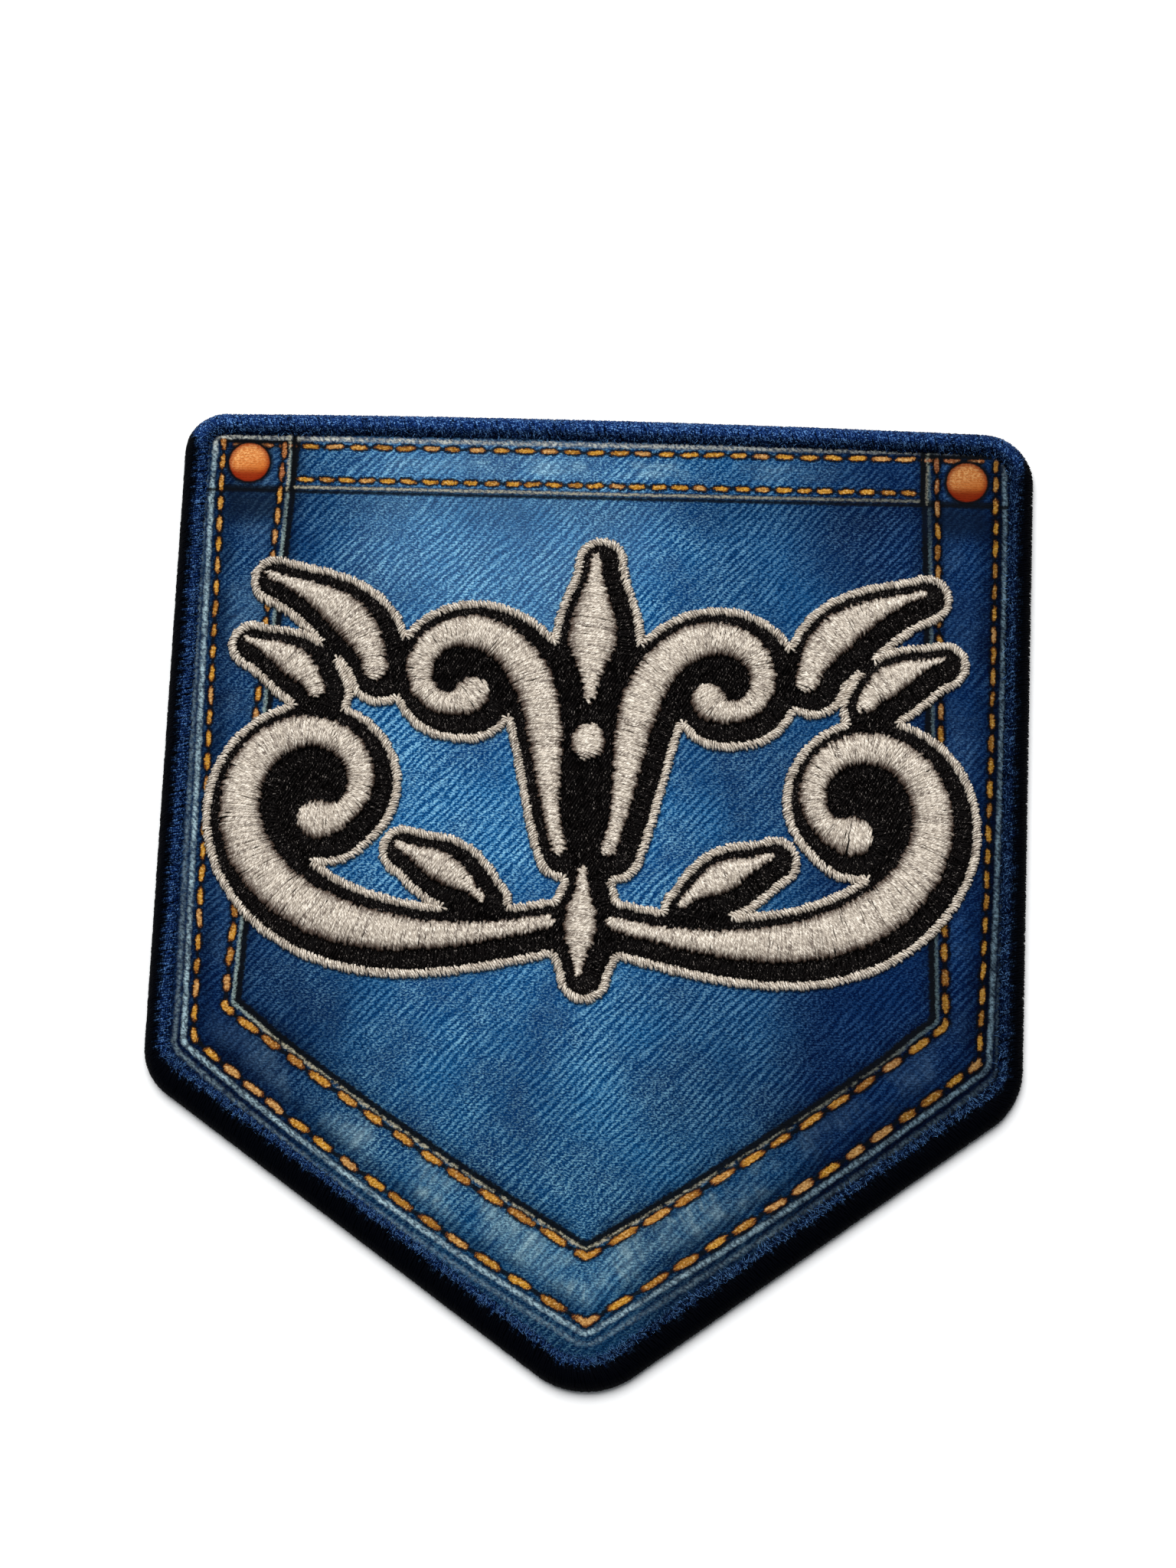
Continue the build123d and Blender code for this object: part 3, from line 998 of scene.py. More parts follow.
    def rivets(self) -> None:
        """Draws the two copper rivets, lit from their upper left."""
        g, look = self.g, self.look
        across = g.minus(self.away, look.rivet_x)
        turned = g.times(across, g.step(self.x, -1.0, 1.0, -0.4, 0.4))
        up = g.minus(self.y, look.rivet_y)
        squares = g.add(g.math("POWER", across, 2.0), g.math("POWER", up, 2.0))
        radius = g.add(g.math("SQRT", squares), g.times(self.rough, 0.5))
        rim = look.rivet_radius
        self.paint(g.step(radius, rim + 0.75, rim + 0.1), look.ink)
        lit = g.times(g.step(g.minus(up, turned), -1.8, 1.6), g.step(self.grit, 0.38, 0.68, 0.2, 1.0))
        copper = g.mix(lit, look.rivet_mid, look.rivet_light)
        copper = g.mix(g.step(up, -0.3, -1.6, 0.0, 0.9), copper, look.rivet_dark)
        copper = g.mix(g.step(radius, rim - 0.8, rim, 0.0, 0.75), copper, look.rivet_dark)
        # painted shade: the rivets darker towards the right
        copper = self.shaded(copper, g.step(self.x, *look.rivet_painted_shade))
        self.paint(g.step(radius, rim + 0.1, rim - 0.15), copper)

    def side_rows(self) -> None:
        """Draws the rows of stitches along the sides and flanks, duller inside the boxes."""
        g, look = self.g, self.look
        in_box = g.step(self.y, *look.box_ramp)
        # stitches counted, distance to the row, period, redness, number of the row
        rows = (
            (self.inner_run, self.inner_across, self.inner_period, g.add(g.times(in_box, 0.6), 0.15), 1.0),
            (self.outer_run, self.outer_across, self.outer_period, g.times(in_box, 0.3), 2.0),
        )
        for run, across, period, red, row in rows:
            width = g.step(period, *look.flank_room, look.narrow_stitch, look.wide_stitch)
            sewn = self.stitches(self.colour, red, row, run, g.add(across, self.rough), period, width)
            # painted shade: the side stitches darker towards the right
            sewn = self.shaded(sewn, g.times(g.step(self.x, *look.row_painted_shade), g.band(across, 0.0, 0.5, 0.4)))
            self.paint(g.step(self.y, *look.row_top), sewn)

    def stitches(
        self,
        under: Socket,
        red: object,
        row: float,
        run: Socket,
        across: Socket,
        period: object,
        width: object,
    ) -> Socket:
        """One row of stitches over a colour.

        Args:
            under: what lies under the stitches.
            red: how dull and red they are, from 0 to 1.
            row: number of the row, for its own random draws.
            run: stitches counted along the row.
            across: distance from the row.
            period: room for one stitch.
            width: width of a stitch.

        Returns:
            The new colour.
        """
        g, look = self.g, self.look
        drawn = g.use(StitchRow.group(), Run=run, Across=across, Period=period, Width=width, Row=row)
        lined = g.mix(g.times(drawn.outputs["Line"], 0.93), under, look.ink)
        warm = g.mix(g.step(drawn.outputs["Tone"], 0.6, 0.9), look.stitch, look.stitch_pale)
        warm = g.mix(g.step(drawn.outputs["Tone"], 0.35, 0.1), warm, look.stitch_dull)
        warm = g.mix(red, warm, look.stitch_red)
        mottled = g.mix(g.step(self.grit, 0.52, 0.3, 0.0, 0.55), warm, look.stitch_edge)
        mottled = g.mix(g.step(self.grit, 0.5, 0.74, 0.0, 0.5), mottled, look.stitch_light)
        rounded = g.mix(drawn.outputs["Crown"], look.stitch_edge, mottled)
        return g.mix(drawn.outputs["Thread"], lined, rounded)


@dataclass(frozen=True)
class PaleFloor:
    """Plain pale floor with the faintest grain."""

    name: str = "pale_floor"
    colour: Colour = (0.9, 0.9, 0.9)
    shade: Colour = (0.88, 0.88, 0.88)
    roughness: float = 0.9
    gloss: float = 0.1

    def material(self) -> bpy.types.Material:
        """The finish as a material."""
        surface = Surface(self.name, self.roughness, self.gloss)
        g = surface.graph
        surface.colour(g.mix(g.noise(g.place(), 0.02), self.colour, self.shade))
        return surface.material


@dataclass(frozen=True)
class Rim:
    """Stations round the patch's outline, clockwise from above."""

    points: np.ndarray
    inward: np.ndarray
    band: np.ndarray

    def inset(self, depth: np.ndarray | float) -> np.ndarray:
        """The points moved inwards by depth."""
        return self.points + self.inward * np.broadcast_to(depth, len(self.points))[:, None]


@dataclass
class PocketOutline:
    """Outline of the patch: a straight edge above, two sides, and two flanks that meet in a point."""

    side_height: float = 81.2
    point_depth: float = 36.8
    point_shift: float = 2.0
    top_arch: float = 0.6
    corner_radii: tuple[float, ...] = (9.5, 6.8, 4.8, 6.0, 8.5)
    band_flank: float = 3.5
    band_side: float = 2.7
    band_top: float = 2.6
    dense_step: float = 0.05

    def __post_init__(self) -> None:
        """Reads the outline's box from the frame."""
        low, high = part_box("rolled_border")
        self.half_width = (high.x - low.x) / 2 / METRES
        self.top = high.y / METRES - self.top_arch
        self.shoulder_y = self.top - self.side_height

    def corners(self) -> np.ndarray:
        """The five sharp corners, from the point clockwise."""
        half = self.half_width
        return np.array(
            [
                (self.point_shift, self.shoulder_y - self.point_depth),
                (-half, self.shoulder_y),
                (-half, self.top),
                (half, self.top),
                (half, self.shoulder_y),
            ]
        )

    def dense(self) -> tuple[np.ndarray, np.ndarray]:
        """Close points along the rounded outline, and the border's width at each."""
        corners = self.corners()
        bands = (self.band_flank, self.band_side, self.band_top, self.band_side, self.band_flank)
        arcs = []
        for number, corner in enumerate(corners):
            before = unit(corner - corners[number - 1])
            after = unit(corners[(number + 1) % len(corners)] - corner)
            turn = math.acos(float(np.clip(before @ after, -1, 1)))
            radius = self.corner_radii[number]
            run = radius * math.tan(turn / 2)
            start = corner - before * run
            centre = start + radius * np.array([before[1], -before[0]])
            steps = max(2, int(radius * turn / self.dense_step))
            angles = math.atan2(*(start - centre)[::-1]) - turn * np.arange(steps + 1) / steps
            arc = centre + radius * np.stack([np.cos(angles), np.sin(angles)], axis=1)
            widths = bands[number - 1] + (bands[number] - bands[number - 1]) * np.arange(steps + 1) / steps
            arcs.append((arc, widths))
        points = []
        widths = []
        for number, (arc, arc_widths) in enumerate(arcs):
            following = arcs[(number + 1) % len(arcs)][0][0]
            steps = max(2, int(np.linalg.norm(following - arc[-1]) / self.dense_step))
            shares = (np.arange(1, steps) / steps)[:, None]
            points += [arc, arc[-1] + (following - arc[-1]) * shares]
            widths += [arc_widths, np.full(steps - 1, bands[number])]
        placed = np.concatenate(points)
        upper = placed[:, 1] > self.top - max(self.corner_radii)
        placed[upper, 1] += self.top_arch * (1 - (placed[upper, 0] / self.half_width) ** 2)
        return placed, np.concatenate(widths)

    def rim(self, pitch: float) -> Rim:
        """Even stations about one pitch apart."""
        stations = evened(np.column_stack(self.dense()), pitch)
        placed = stations[:, :2]
        ahead = ahead_of(placed)
        inward = np.stack([ahead[:, 1], -ahead[:, 0]], axis=1)
        return Rim(placed, inward, stations[:, 2])


@dataclass(frozen=True)
class SeamEdge:
    """A corner of a printed seam and the edge after it, in mm over the shoulders."""

    x: float
    y: float
    bow: float
    first: float
    last: float


@dataclass(frozen=True)
class Seam:
    """A printed seam line through its corners, with stitches counted along it."""

    edges: tuple[SeamEdge, ...]
    step: float = 0.25

    def line(self, shoulder_y: float) -> tuple[np.ndarray, np.ndarray]:
        """Close points along the seam in the row frame, and the room that one stitch takes at each."""
        points = []
        periods = []
        for edge, following in zip(self.edges, self.edges[1:]):
            start = np.array([edge.x, edge.y + shoulder_y])
            end = np.array([following.x, following.y + shoulder_y])
            steps = max(2, int(np.linalg.norm(end - start) / self.step))
            shares = (np.arange(steps + 1) / steps)[:, None]
            ahead = unit(end - start)
            outward = np.array([ahead[1], -ahead[0]])
            curve = start + (end - start) * shares + outward * 4 * edge.bow * shares * (1 - shares)
            points.append(curve if not points else curve[1:])
            periods.append(edge.first + (edge.last - edge.first) * shares[len(curve) - len(points[-1]) :, 0])
        return np.concatenate(points), np.concatenate(periods)

    def coordinates(self, places: np.ndarray, shoulder_y: float) -> tuple[np.ndarray, np.ndarray, np.ndarray]:
        """Where each place lies by the seam.

        Args:
            places: (n, 2) places in mm.
            shoulder_y: height of the shoulders in the row frame.

        Returns:
            Stitches counted along the line, distance to its inner side, and room for one stitch there.
        """
        line, periods = self.line(shoulder_y)
        start = line[:-1]
        way = np.diff(line, axis=0)
        lengths = np.linalg.norm(way, axis=1)
        counted = np.concatenate([[0], np.cumsum(lengths / periods[1:])])
        run = np.empty(len(places))
        across = np.empty(len(places))
        period = np.empty(len(places))
        for spot in blocks(len(places)):
            block = places[spot]
            offset = block[:, None, :] - start[None]
            share = np.clip((offset * way).sum(-1) / lengths**2, 0, 1)
            apart = offset - share[..., None] * way
            distance = np.hypot(apart[..., 0], apart[..., 1])
            nearest = distance.argmin(1)
            rows = np.arange(len(block))
            side = way[nearest, 0] * offset[rows, nearest, 1] - way[nearest, 1] * offset[rows, nearest, 0]
            run[spot] = counted[nearest] + share[rows, nearest] * (counted[nearest + 1] - counted[nearest])
            across[spot] = distance[rows, nearest] * np.sign(side)
            period[spot] = periods[nearest + 1]
        return run, across, period


# x, y, bow, first, last
OUTER_SEAM = Seam(
    (
        SeamEdge(-46.4, 79.0, 0.0, 2.6, 2.8),
        SeamEdge(-45.3, 4.5, 1.2, 3.1, 4.6),
        SeamEdge(1.8, -26.9, 0.7, 4.6, 3.2),
        SeamEdge(45.9, 4.7, 0.4, 2.8, 2.6),
        SeamEdge(46.5, 79.0, 0.0, 2.6, 2.6),
    )
)
INNER_SEAM = Seam(
    (
        SeamEdge(-38.9, 78.0, 0.0, 2.7, 3.0),
        SeamEdge(-41.9, 8.4, 0.8, 3.4, 4.6),
        SeamEdge(1.5, -19.3, 0.8, 4.6, 3.6),
        SeamEdge(42.0, 9.0, 0.0, 3.0, 2.7),
        SeamEdge(39.4, 78.0, 0.0, 2.7, 2.7),
    )
)


@dataclass
class FaceCloth:
    """The stiff printed cloth, held in the border's slot."""

    outline: PocketOutline
    inset: float = 1.1
    columns: int = 196
    rows: int = 246
    end_columns: int = 14
    end_width: float = 8.0
    end_power: float = 1.8
    pucker: float = 0.09
    pucker_reach: float = 0.9
    gathers: int = 60
    sag: float = 0.05
    edge_pitch: float = 0.2
    border_pitch: float = 0.4

    def __post_init__(self) -> None:
        """Reads the cloth's levels from the frame."""
        self.top = top_of("face_cloth")
        self.bottom = bottom_of("face_cloth")

    def column_places(self, reach: float) -> np.ndarray:
        """The columns' x, closer together at the rounded ends."""
        shares = np.arange(self.end_columns) / self.end_columns
        ends = reach - self.end_width * shares**self.end_power
        middle = np.linspace(self.end_width - reach, reach - self.end_width, self.columns)
        return np.concatenate([-ends, middle, ends[::-1]])

    def grid(self) -> np.ndarray:
        """(columns, rows, 2) places over the whole cloth."""
        edge = self.outline.rim(self.edge_pitch).inset(self.inset)
        middle = (self.outline.shoulder_y + self.outline.top) / 2
        reach = self.outline.half_width - self.inset
        xs = self.column_places(reach)
        lower = edge[edge[:, 1] < middle]
        upper = edge[edge[:, 1] >= middle]
        inside = reach - 0.02
        chains = []
        for chain in (lower, upper):
            curved = chain[np.abs(chain[:, 0]) < inside]
            curved = curved[curved[:, 0].argsort()]
            chains.append(np.interp(xs, curved[:, 0], curved[:, 1]))
        shares = np.arange(self.rows + 1) / self.rows
        ys = chains[0][:, None] + (chains[1] - chains[0])[:, None] * shares
        return np.stack([np.broadcast_to(xs[:, None], ys.shape), ys], axis=-1)

    def relief(self, places: np.ndarray, ornament: "Ornament") -> np.ndarray:
        """How far the cloth's face lies below its level, in mm.

        Args:
            places: (n, 2) places in mm.
            ornament: the stitching that draws the cloth down round itself.

        Returns:
            Depths, 0 or more.
        """
        x, y = places.T
        soft = 0.5 + 0.5 * np.sin(x * 0.31 + 1.7 * np.sin(y * 0.13)) * np.sin(y * 0.27 + np.sin(x * 0.21))
        away = ornament.distance(places) - ornament.cord_outer
        radial = np.arctan2(y - ornament.middle_y, x - ornament.middle_x)
        gathers = 0.75 + 0.25 * np.sin(radial * self.gathers + 2 * np.sin(radial * 17))
        drawn = np.exp(-np.clip(away, 0, None) / self.pucker_reach) * gathers
        return self.sag * soft + self.pucker * drawn

    def build(self, ornament: "Ornament") -> bpy.types.Object:
        """Makes the cloth as one closed sheet, with its seam coordinates.

        Args:
            ornament: the stitching on it.

        Returns:
            The cloth.
        """
        grid = self.grid()
        across, up, _ = grid.shape
        places = grid.reshape(-1, 2)
        number = np.arange(len(places)).reshape(across, up)
        level = self.top - self.relief(places, ornament)
        face = np.column_stack([places, level])
        rim = np.concatenate([number[:, 0], number[-1, 1:], number[-2::-1, -1], number[0, -2:0:-1]])
        under = face[rim].copy()
        under[:, 2] = self.bottom
        below = len(places) + np.arange(len(rim))
        panes = np.stack([number[:-1, :-1], number[1:, :-1], number[1:, 1:], number[:-1, 1:]], axis=-1)
        walls = np.column_stack([rim, below, np.roll(below, -1), np.roll(rim, -1)])
        points = np.vstack([face, under])
        flat = points[:, :2]
        outer = OUTER_SEAM.coordinates(flat, self.outline.shoulder_y)
        inner = INNER_SEAM.coordinates(flat, self.outline.shoulder_y)
        shape = Shape()
        shape.add(
            points,
            [panes.reshape(-1, 4), walls, below[None, ::-1]],
            outer_seam=np.column_stack([outer[0], outer[1], self.within_border(flat)]),
            inner_seam=np.column_stack([inner[0], inner[1], np.zeros(len(flat))]),
            stitch_period=np.column_stack([outer[2], inner[2], np.zeros(len(flat))]),
        )
        piece = shape.build("printed_cloth", PrintedDenim().material(-self.outline.shoulder_y))
        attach(piece, BODY)
        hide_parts("face_cloth")
        return piece

    def within_border(self, places: np.ndarray) -> np.ndarray:
        """Distance of each place inside the border's inner edge, in mm."""
        rim = self.outline.rim(self.border_pitch)
        within = np.empty(len(places))
        for spot in blocks(len(places)):
            block = places[spot]
            away = np.hypot(*(block[:, None, :] - rim.points[None]).transpose(2, 0, 1))
            nearest = away.argmin(1)
            within[spot] = away[np.arange(len(block)), nearest] - rim.band[nearest]
        return within


@dataclass
class RolledBorder:
    """The overlock border: a core ring wrapped in close thread, with a few stray fibres."""

    outline: PocketOutline
    pitch: float = 0.28
    thread_height: float = 0.1
    thread_width: float = 0.78
    lean: float = 2.0
    core_pitch: float = 1.2
    fibres: int = 3400
    fibre_pitch: float = 0.1
    fibre_root: tuple[float, float] = (-0.3, 1.0)
    fibre_length: tuple[float, float] = (0.25, 0.85)
    fibre_radius: float = 0.032
    fibre_turn: float = 0.7
    fibre_drop: float = 0.15
    # painted shade: share of the wrap left dark on the sides and flanks, how much less along the straight
    # edge, and dimming to the right and where it meets the cloth
    dark_side: float = 0.5
    dark_flank: float = 0.72
    dark_top: float = 0.6
    right_shade: float = 0.55
    top_painted_shade: float = 0.4
    tuck: float = 0.7

    def __post_init__(self) -> None:
        """Reads the border's levels from the frame."""
        self.height = top_of("rolled_border")
        self.cloth_top = top_of("face_cloth")
        self.draws = np.random.default_rng(SEED)

    def profile(self, band: np.ndarray, depth: float) -> tuple[np.ndarray, np.ndarray]:
        """Inset and height of the wrap, from underneath to the cloth.

        Args:
            band: the border's width at each station.
            depth: how far the line lies under the border's surface.

        Returns:
            Insets and heights, each (stations, knots).
        """
        crest = self.height - depth
        side = depth
        # inset, height
        rows = (
            (1.3 + 0 * band, depth),
            (0.62 + 0 * band, depth),
            (side + 0.12 + 0 * band, 0.38),
            (side + 0 * band, 0.85),
            (side + 0.07 + 0 * band, 1.3),
            (side + 0.27 + 0 * band, 1.75),
            (side + 0.42 + 0.07 * band, crest - 0.33),
            (0.38 * band, crest - 0.08),
            (0.56 * band, crest),
            (0.74 * band, crest - 0.09),
            (0.89 * band, crest - 0.32),
            (band - side * 0.5, crest - 0.62),
            (band + 0.05, self.cloth_top - 0.02),
        )
        insets = np.stack([inset for inset, _ in rows], axis=1)
        heights = np.stack([np.full(len(band), height) for _, height in rows], axis=1)
        return insets, heights

    def wrap(self, rim: Rim, depth: float) -> np.ndarray:
        """(stations, knots, 3) lines of the wrap round the border."""
        insets, heights = self.profile(rim.band, depth)
        flat = rim.points[:, None, :] + rim.inward[:, None, :] * insets[..., None]
        return raised(flat, heights)

    def nap(self, rim: Rim) -> np.ndarray:
        """Painted light and shade of the wrap: dark on its outer side, lit inside and along the straight
        edge, dimmer to the right and where it meets the cloth at the top.
        """
        insets, _ = self.profile(rim.band, self.thread_height)
        shares = insets / rim.band[:, None]
        upward = ease(-rim.inward[:, 1:2] / 0.8)
        downward = ease(rim.inward[:, 1:2] / 0.7)
        # painted shade: the outer side dark, less so along the straight edge, which faces the light
        dark = self.dark_side + (self.dark_flank - self.dark_side) * downward - self.dark_top * upward
        dark = dark + self.draws.normal(0, 0.05, dark.shape)
        # painted shade: the right side dimmer, and the straight edge dimmer to its right and where it meets
        # the cloth
        shaded = 1 - self.right_shade * ease(-rim.inward[:, :1] / 0.6) * (1 - upward)
        shaded = shaded - self.top_painted_shade * ease((rim.points[:, :1] - 10) / 38) * upward
        painted_tuck_shade = 1 - self.tuck * ease((shares - 0.6) / 0.2) * upward
        return ease((shares - dark) / 0.2) * (0.6 + 0.4 * upward) * shaded * painted_tuck_shade

    def threads(self) -> ThreadBundle:
        """The wrapped thread, a little uneven."""
        rim = self.outline.rim(self.pitch)
        paths = self.wrap(rim, self.thread_height)
        count, knots, _ = paths.shape
        ahead = np.stack([-rim.inward[:, 1], rim.inward[:, 0]], axis=1)
        slant = self.lean + self.draws.normal(0, 0.16, count)
        shares = np.linspace(-0.5, 0.5, knots)
        paths[..., :2] += ahead[:, None, :] * (slant[:, None] * shares)[..., None]
        paths[..., :2] += ahead[:, None, :] * self.draws.normal(0, 0.05, (count, knots))[..., None]
        paths[..., 2] += np.clip(self.draws.normal(-0.03, 0.03, (count, knots)), -0.1, 0.0)
        paths[:, -1, :2] += rim.inward * self.draws.uniform(-0.15, 0.25, (count, 1))
        width = self.pitch * self.thread_width
        widths = np.full((count, knots), width) * self.draws.uniform(0.85, 1.15, (count, 1))
        return ThreadBundle(
            paths=paths,
            half_widths=widths,
            half_heights=np.full((count, knots), self.thread_height),
            tones=self.draws.random(count),
            nap=self.nap(rim),
            sides=4,
        )

    def core(self, shape: Shape) -> None:
        """Adds the closed ring under the thread."""
        rim = self.outline.rim(self.core_pitch)
        lines = self.wrap(rim, self.thread_height * 2)
        count, knots, _ = lines.shape
        number = np.arange(count * knots).reshape(count, knots)
        following = np.roll(number, -1, axis=0)
        around = np.roll(number, -1, axis=1)
        ahead = np.roll(following, -1, axis=1)
        walls = np.stack([number, around, ahead, following], axis=-1).reshape(-1, 4)
        thread = np.zeros((count * knots, 3))
        thread[:, 0] = np.repeat(np.arange(count) * self.core_pitch, knots)
        # the core is drawn wholly in the painted shade colour
        shape.add(lines.reshape(-1, 3), [walls], thread=thread, nap=np.zeros((count * knots, 3)))

    def fuzz(self) -> ThreadBundle:
        """Stray fibres that stand off the inner edge."""
        rim = self.outline.rim(self.fibre_pitch)
        weight = 1 + 2.5 * ease(rim.inward[:, 1] / 0.7)
        picked = self.draws.choice(len(rim.points), self.fibres, p=weight / weight.sum())
        inward = rim.inward[picked]
        band = rim.band[picked]
        depth = band - self.draws.uniform(*self.fibre_root, self.fibres)
        root = rim.points[picked] + inward * depth[:, None]
        turn = self.draws.normal(0, self.fibre_turn, self.fibres)
        way = np.stack(
            [
                inward[:, 0] * np.cos(turn) - inward[:, 1] * np.sin(turn),
                inward[:, 0] * np.sin(turn) + inward[:, 1] * np.cos(turn),
            ],
            axis=1,
        )
        length = self.draws.uniform(*self.fibre_length, self.fibres)
        shares = np.array([0.0, 0.5, 1.0])
        flat = root[:, None, :] + way[:, None, :] * (length[:, None] * shares)[..., None]
        rise = self.draws.uniform(0.0, 0.3, (self.fibres, 1))
        level = np.full((self.fibres, 3), self.height - self.fibre_drop)
        heights = level + rise * shares * 1.2 - (length[:, None] * shares**2) * 0.75
        heights = np.maximum(heights, self.cloth_top + 0.04)
        paths = raised(flat, heights)
        taper = self.fibre_radius * (1 - 0.7 * shares)
        widths = np.broadcast_to(taper, (self.fibres, 3)).copy()
        tones = self.draws.random(self.fibres)
        # stray fibres lit in full, with painted highlights
        return ThreadBundle(paths, widths, widths, tones, np.ones_like(widths), sides=3, shine=0.8)

    def build(self) -> bpy.types.Object:
        """Makes the border as one piece of core, thread and fibres."""
        shape = Shape()
        self.core(shape)
        self.threads().add_to(shape)
        self.fuzz().add_to(shape)
        piece = shape.build("wrapped_border", NAVY_THREAD.material())
        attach(piece, BODY)
        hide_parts("rolled_border")
        return piece


@dataclass(frozen=True)
class Stroke:
    """One satin column of the ornament, as in the part's source."""

    name: str
    x: float
    y: float
    heading: float
    length: float
    turn_in: float
    turn_out: float
    late: float
    root: float
    belly: float
    neck: float
    knob: float
    belly_at: float
    mirrored: bool


# name, x, y, heading, length, turn_in, turn_out, late, root, belly, neck, knob, belly_at, mirrored
STROKES = (
    Stroke("scroll", 0.046, -0.230, -14, 0.873, 55, 985, 1.9, 0.16, 0.50, 0.26, 0.43, 0.40, True),
    Stroke("curl", 0.034, -0.126, 72, 0.563, 100, -890, 1.45, 0.16, 0.43, 0.23, 0.38, 0.40, True),
    Stroke("long_leaf", 0.299, 0.122, 80, 0.210, -120, 0, 1.0, 0.27, 0.42, 0.09, 0.0, 0.35, True),
    Stroke("short_leaf", 0.380, 0.090, 62, 0.122, -85, 0, 1.0, 0.22, 0.33, 0.07, 0.0, 0.35, True),
    Stroke("inner_leaf", 0.137, -0.200, 48, 0.137, -60, 20, 1.0, 0.09, 0.33, 0.09, 0.0, 0.50, True),
    Stroke("top_leaf", 0.0, 0.090, 90, 0.200, 0, 0, 1.0, 0.13, 0.52, 0.09, 0.0, 0.42, False),
    Stroke("bead", 0.0, 0.022, 90, 0.006, 0, 0, 1.0, 0.36, 0.36, 0.36, 0.0, 0.50, False),
    Stroke("drop_leaf", 0.0, -0.157, 270, 0.142, 0, 0, 1.0, 0.09, 0.36, 0.09, 0.0, 0.55, False),
)


@dataclass(frozen=True)
class StrokeLine:
    """A stroke's centre line in the row frame, with what it needs for threads across it."""

    name: str
    runs: np.ndarray
    points: np.ndarray
    headings: np.ndarray
    reaches: np.ndarray
    turns: np.ndarray
    scan: int = 6000
    fan: float = 0.75

    def mirrored(self, name: str, middle_x: float) -> "StrokeLine":
        """The line's twin on the other side of the ornament."""
        points = self.points * [-1, 1] + [2 * middle_x, 0]
        return StrokeLine(name, self.runs, points, math.pi - self.headings, self.reaches, -self.turns)

    def side(self, places: np.ndarray, side: Side, margin: float, spare: float = 0.9) -> np.ndarray:
        """Points on one edge of the stroke, with its round ends.

        Args:
            places: mm along the line, below 0 and past its length in the ends.
            side: which edge.
            margin: how far the edge is grown.
            spare: share of the way to the centre of a bend that the edge may take.

        Returns:
            (n, 2) points.
        """
        held = np.clip(places, 0, self.runs[-1])
        x = np.interp(held, self.runs, self.points[:, 0])
        y = np.interp(held, self.runs, self.points[:, 1])
        heading = np.interp(held, self.runs, self.headings)
        turn = np.interp(held, self.runs, self.turns) * side.value
        reach = np.interp(held, self.runs, self.reaches) + margin
        limit = spare / np.maximum(turn, 1e-3)
        beyond = places - held
        ahead = np.stack([np.cos(heading), np.sin(heading)], axis=1)
        left = np.stack([-np.sin(heading), np.cos(heading)], axis=1)
        out = np.sqrt(np.maximum(reach**2 - beyond**2, 0))
        out = np.where(beyond == 0, np.minimum(reach, limit), out)
        return np.stack([x, y], axis=1) + ahead * beyond[:, None] + left * (side.value * out)[:, None]

    def places(self, pitch: float, margin: float) -> np.ndarray:
        """Where threads cross the line: about one pitch apart at the outside of each bend."""
        ends = self.reaches[[0, -1]] + margin
        fine = np.linspace(-ends[0], self.runs[-1] + ends[1], self.scan)
        held = np.clip(fine, 0, self.runs[-1])
        turn = np.abs(np.interp(held, self.runs, self.turns)) * (fine == held)
        reach = np.interp(held, self.runs, self.reaches) + margin
        longer = (1 + self.fan * turn * reach)[1:]
        count = np.concatenate([[0], np.cumsum(np.diff(fine) * longer / pitch)])
        wanted = np.arange(0.5, count[-1])
        return np.interp(wanted, count, fine)


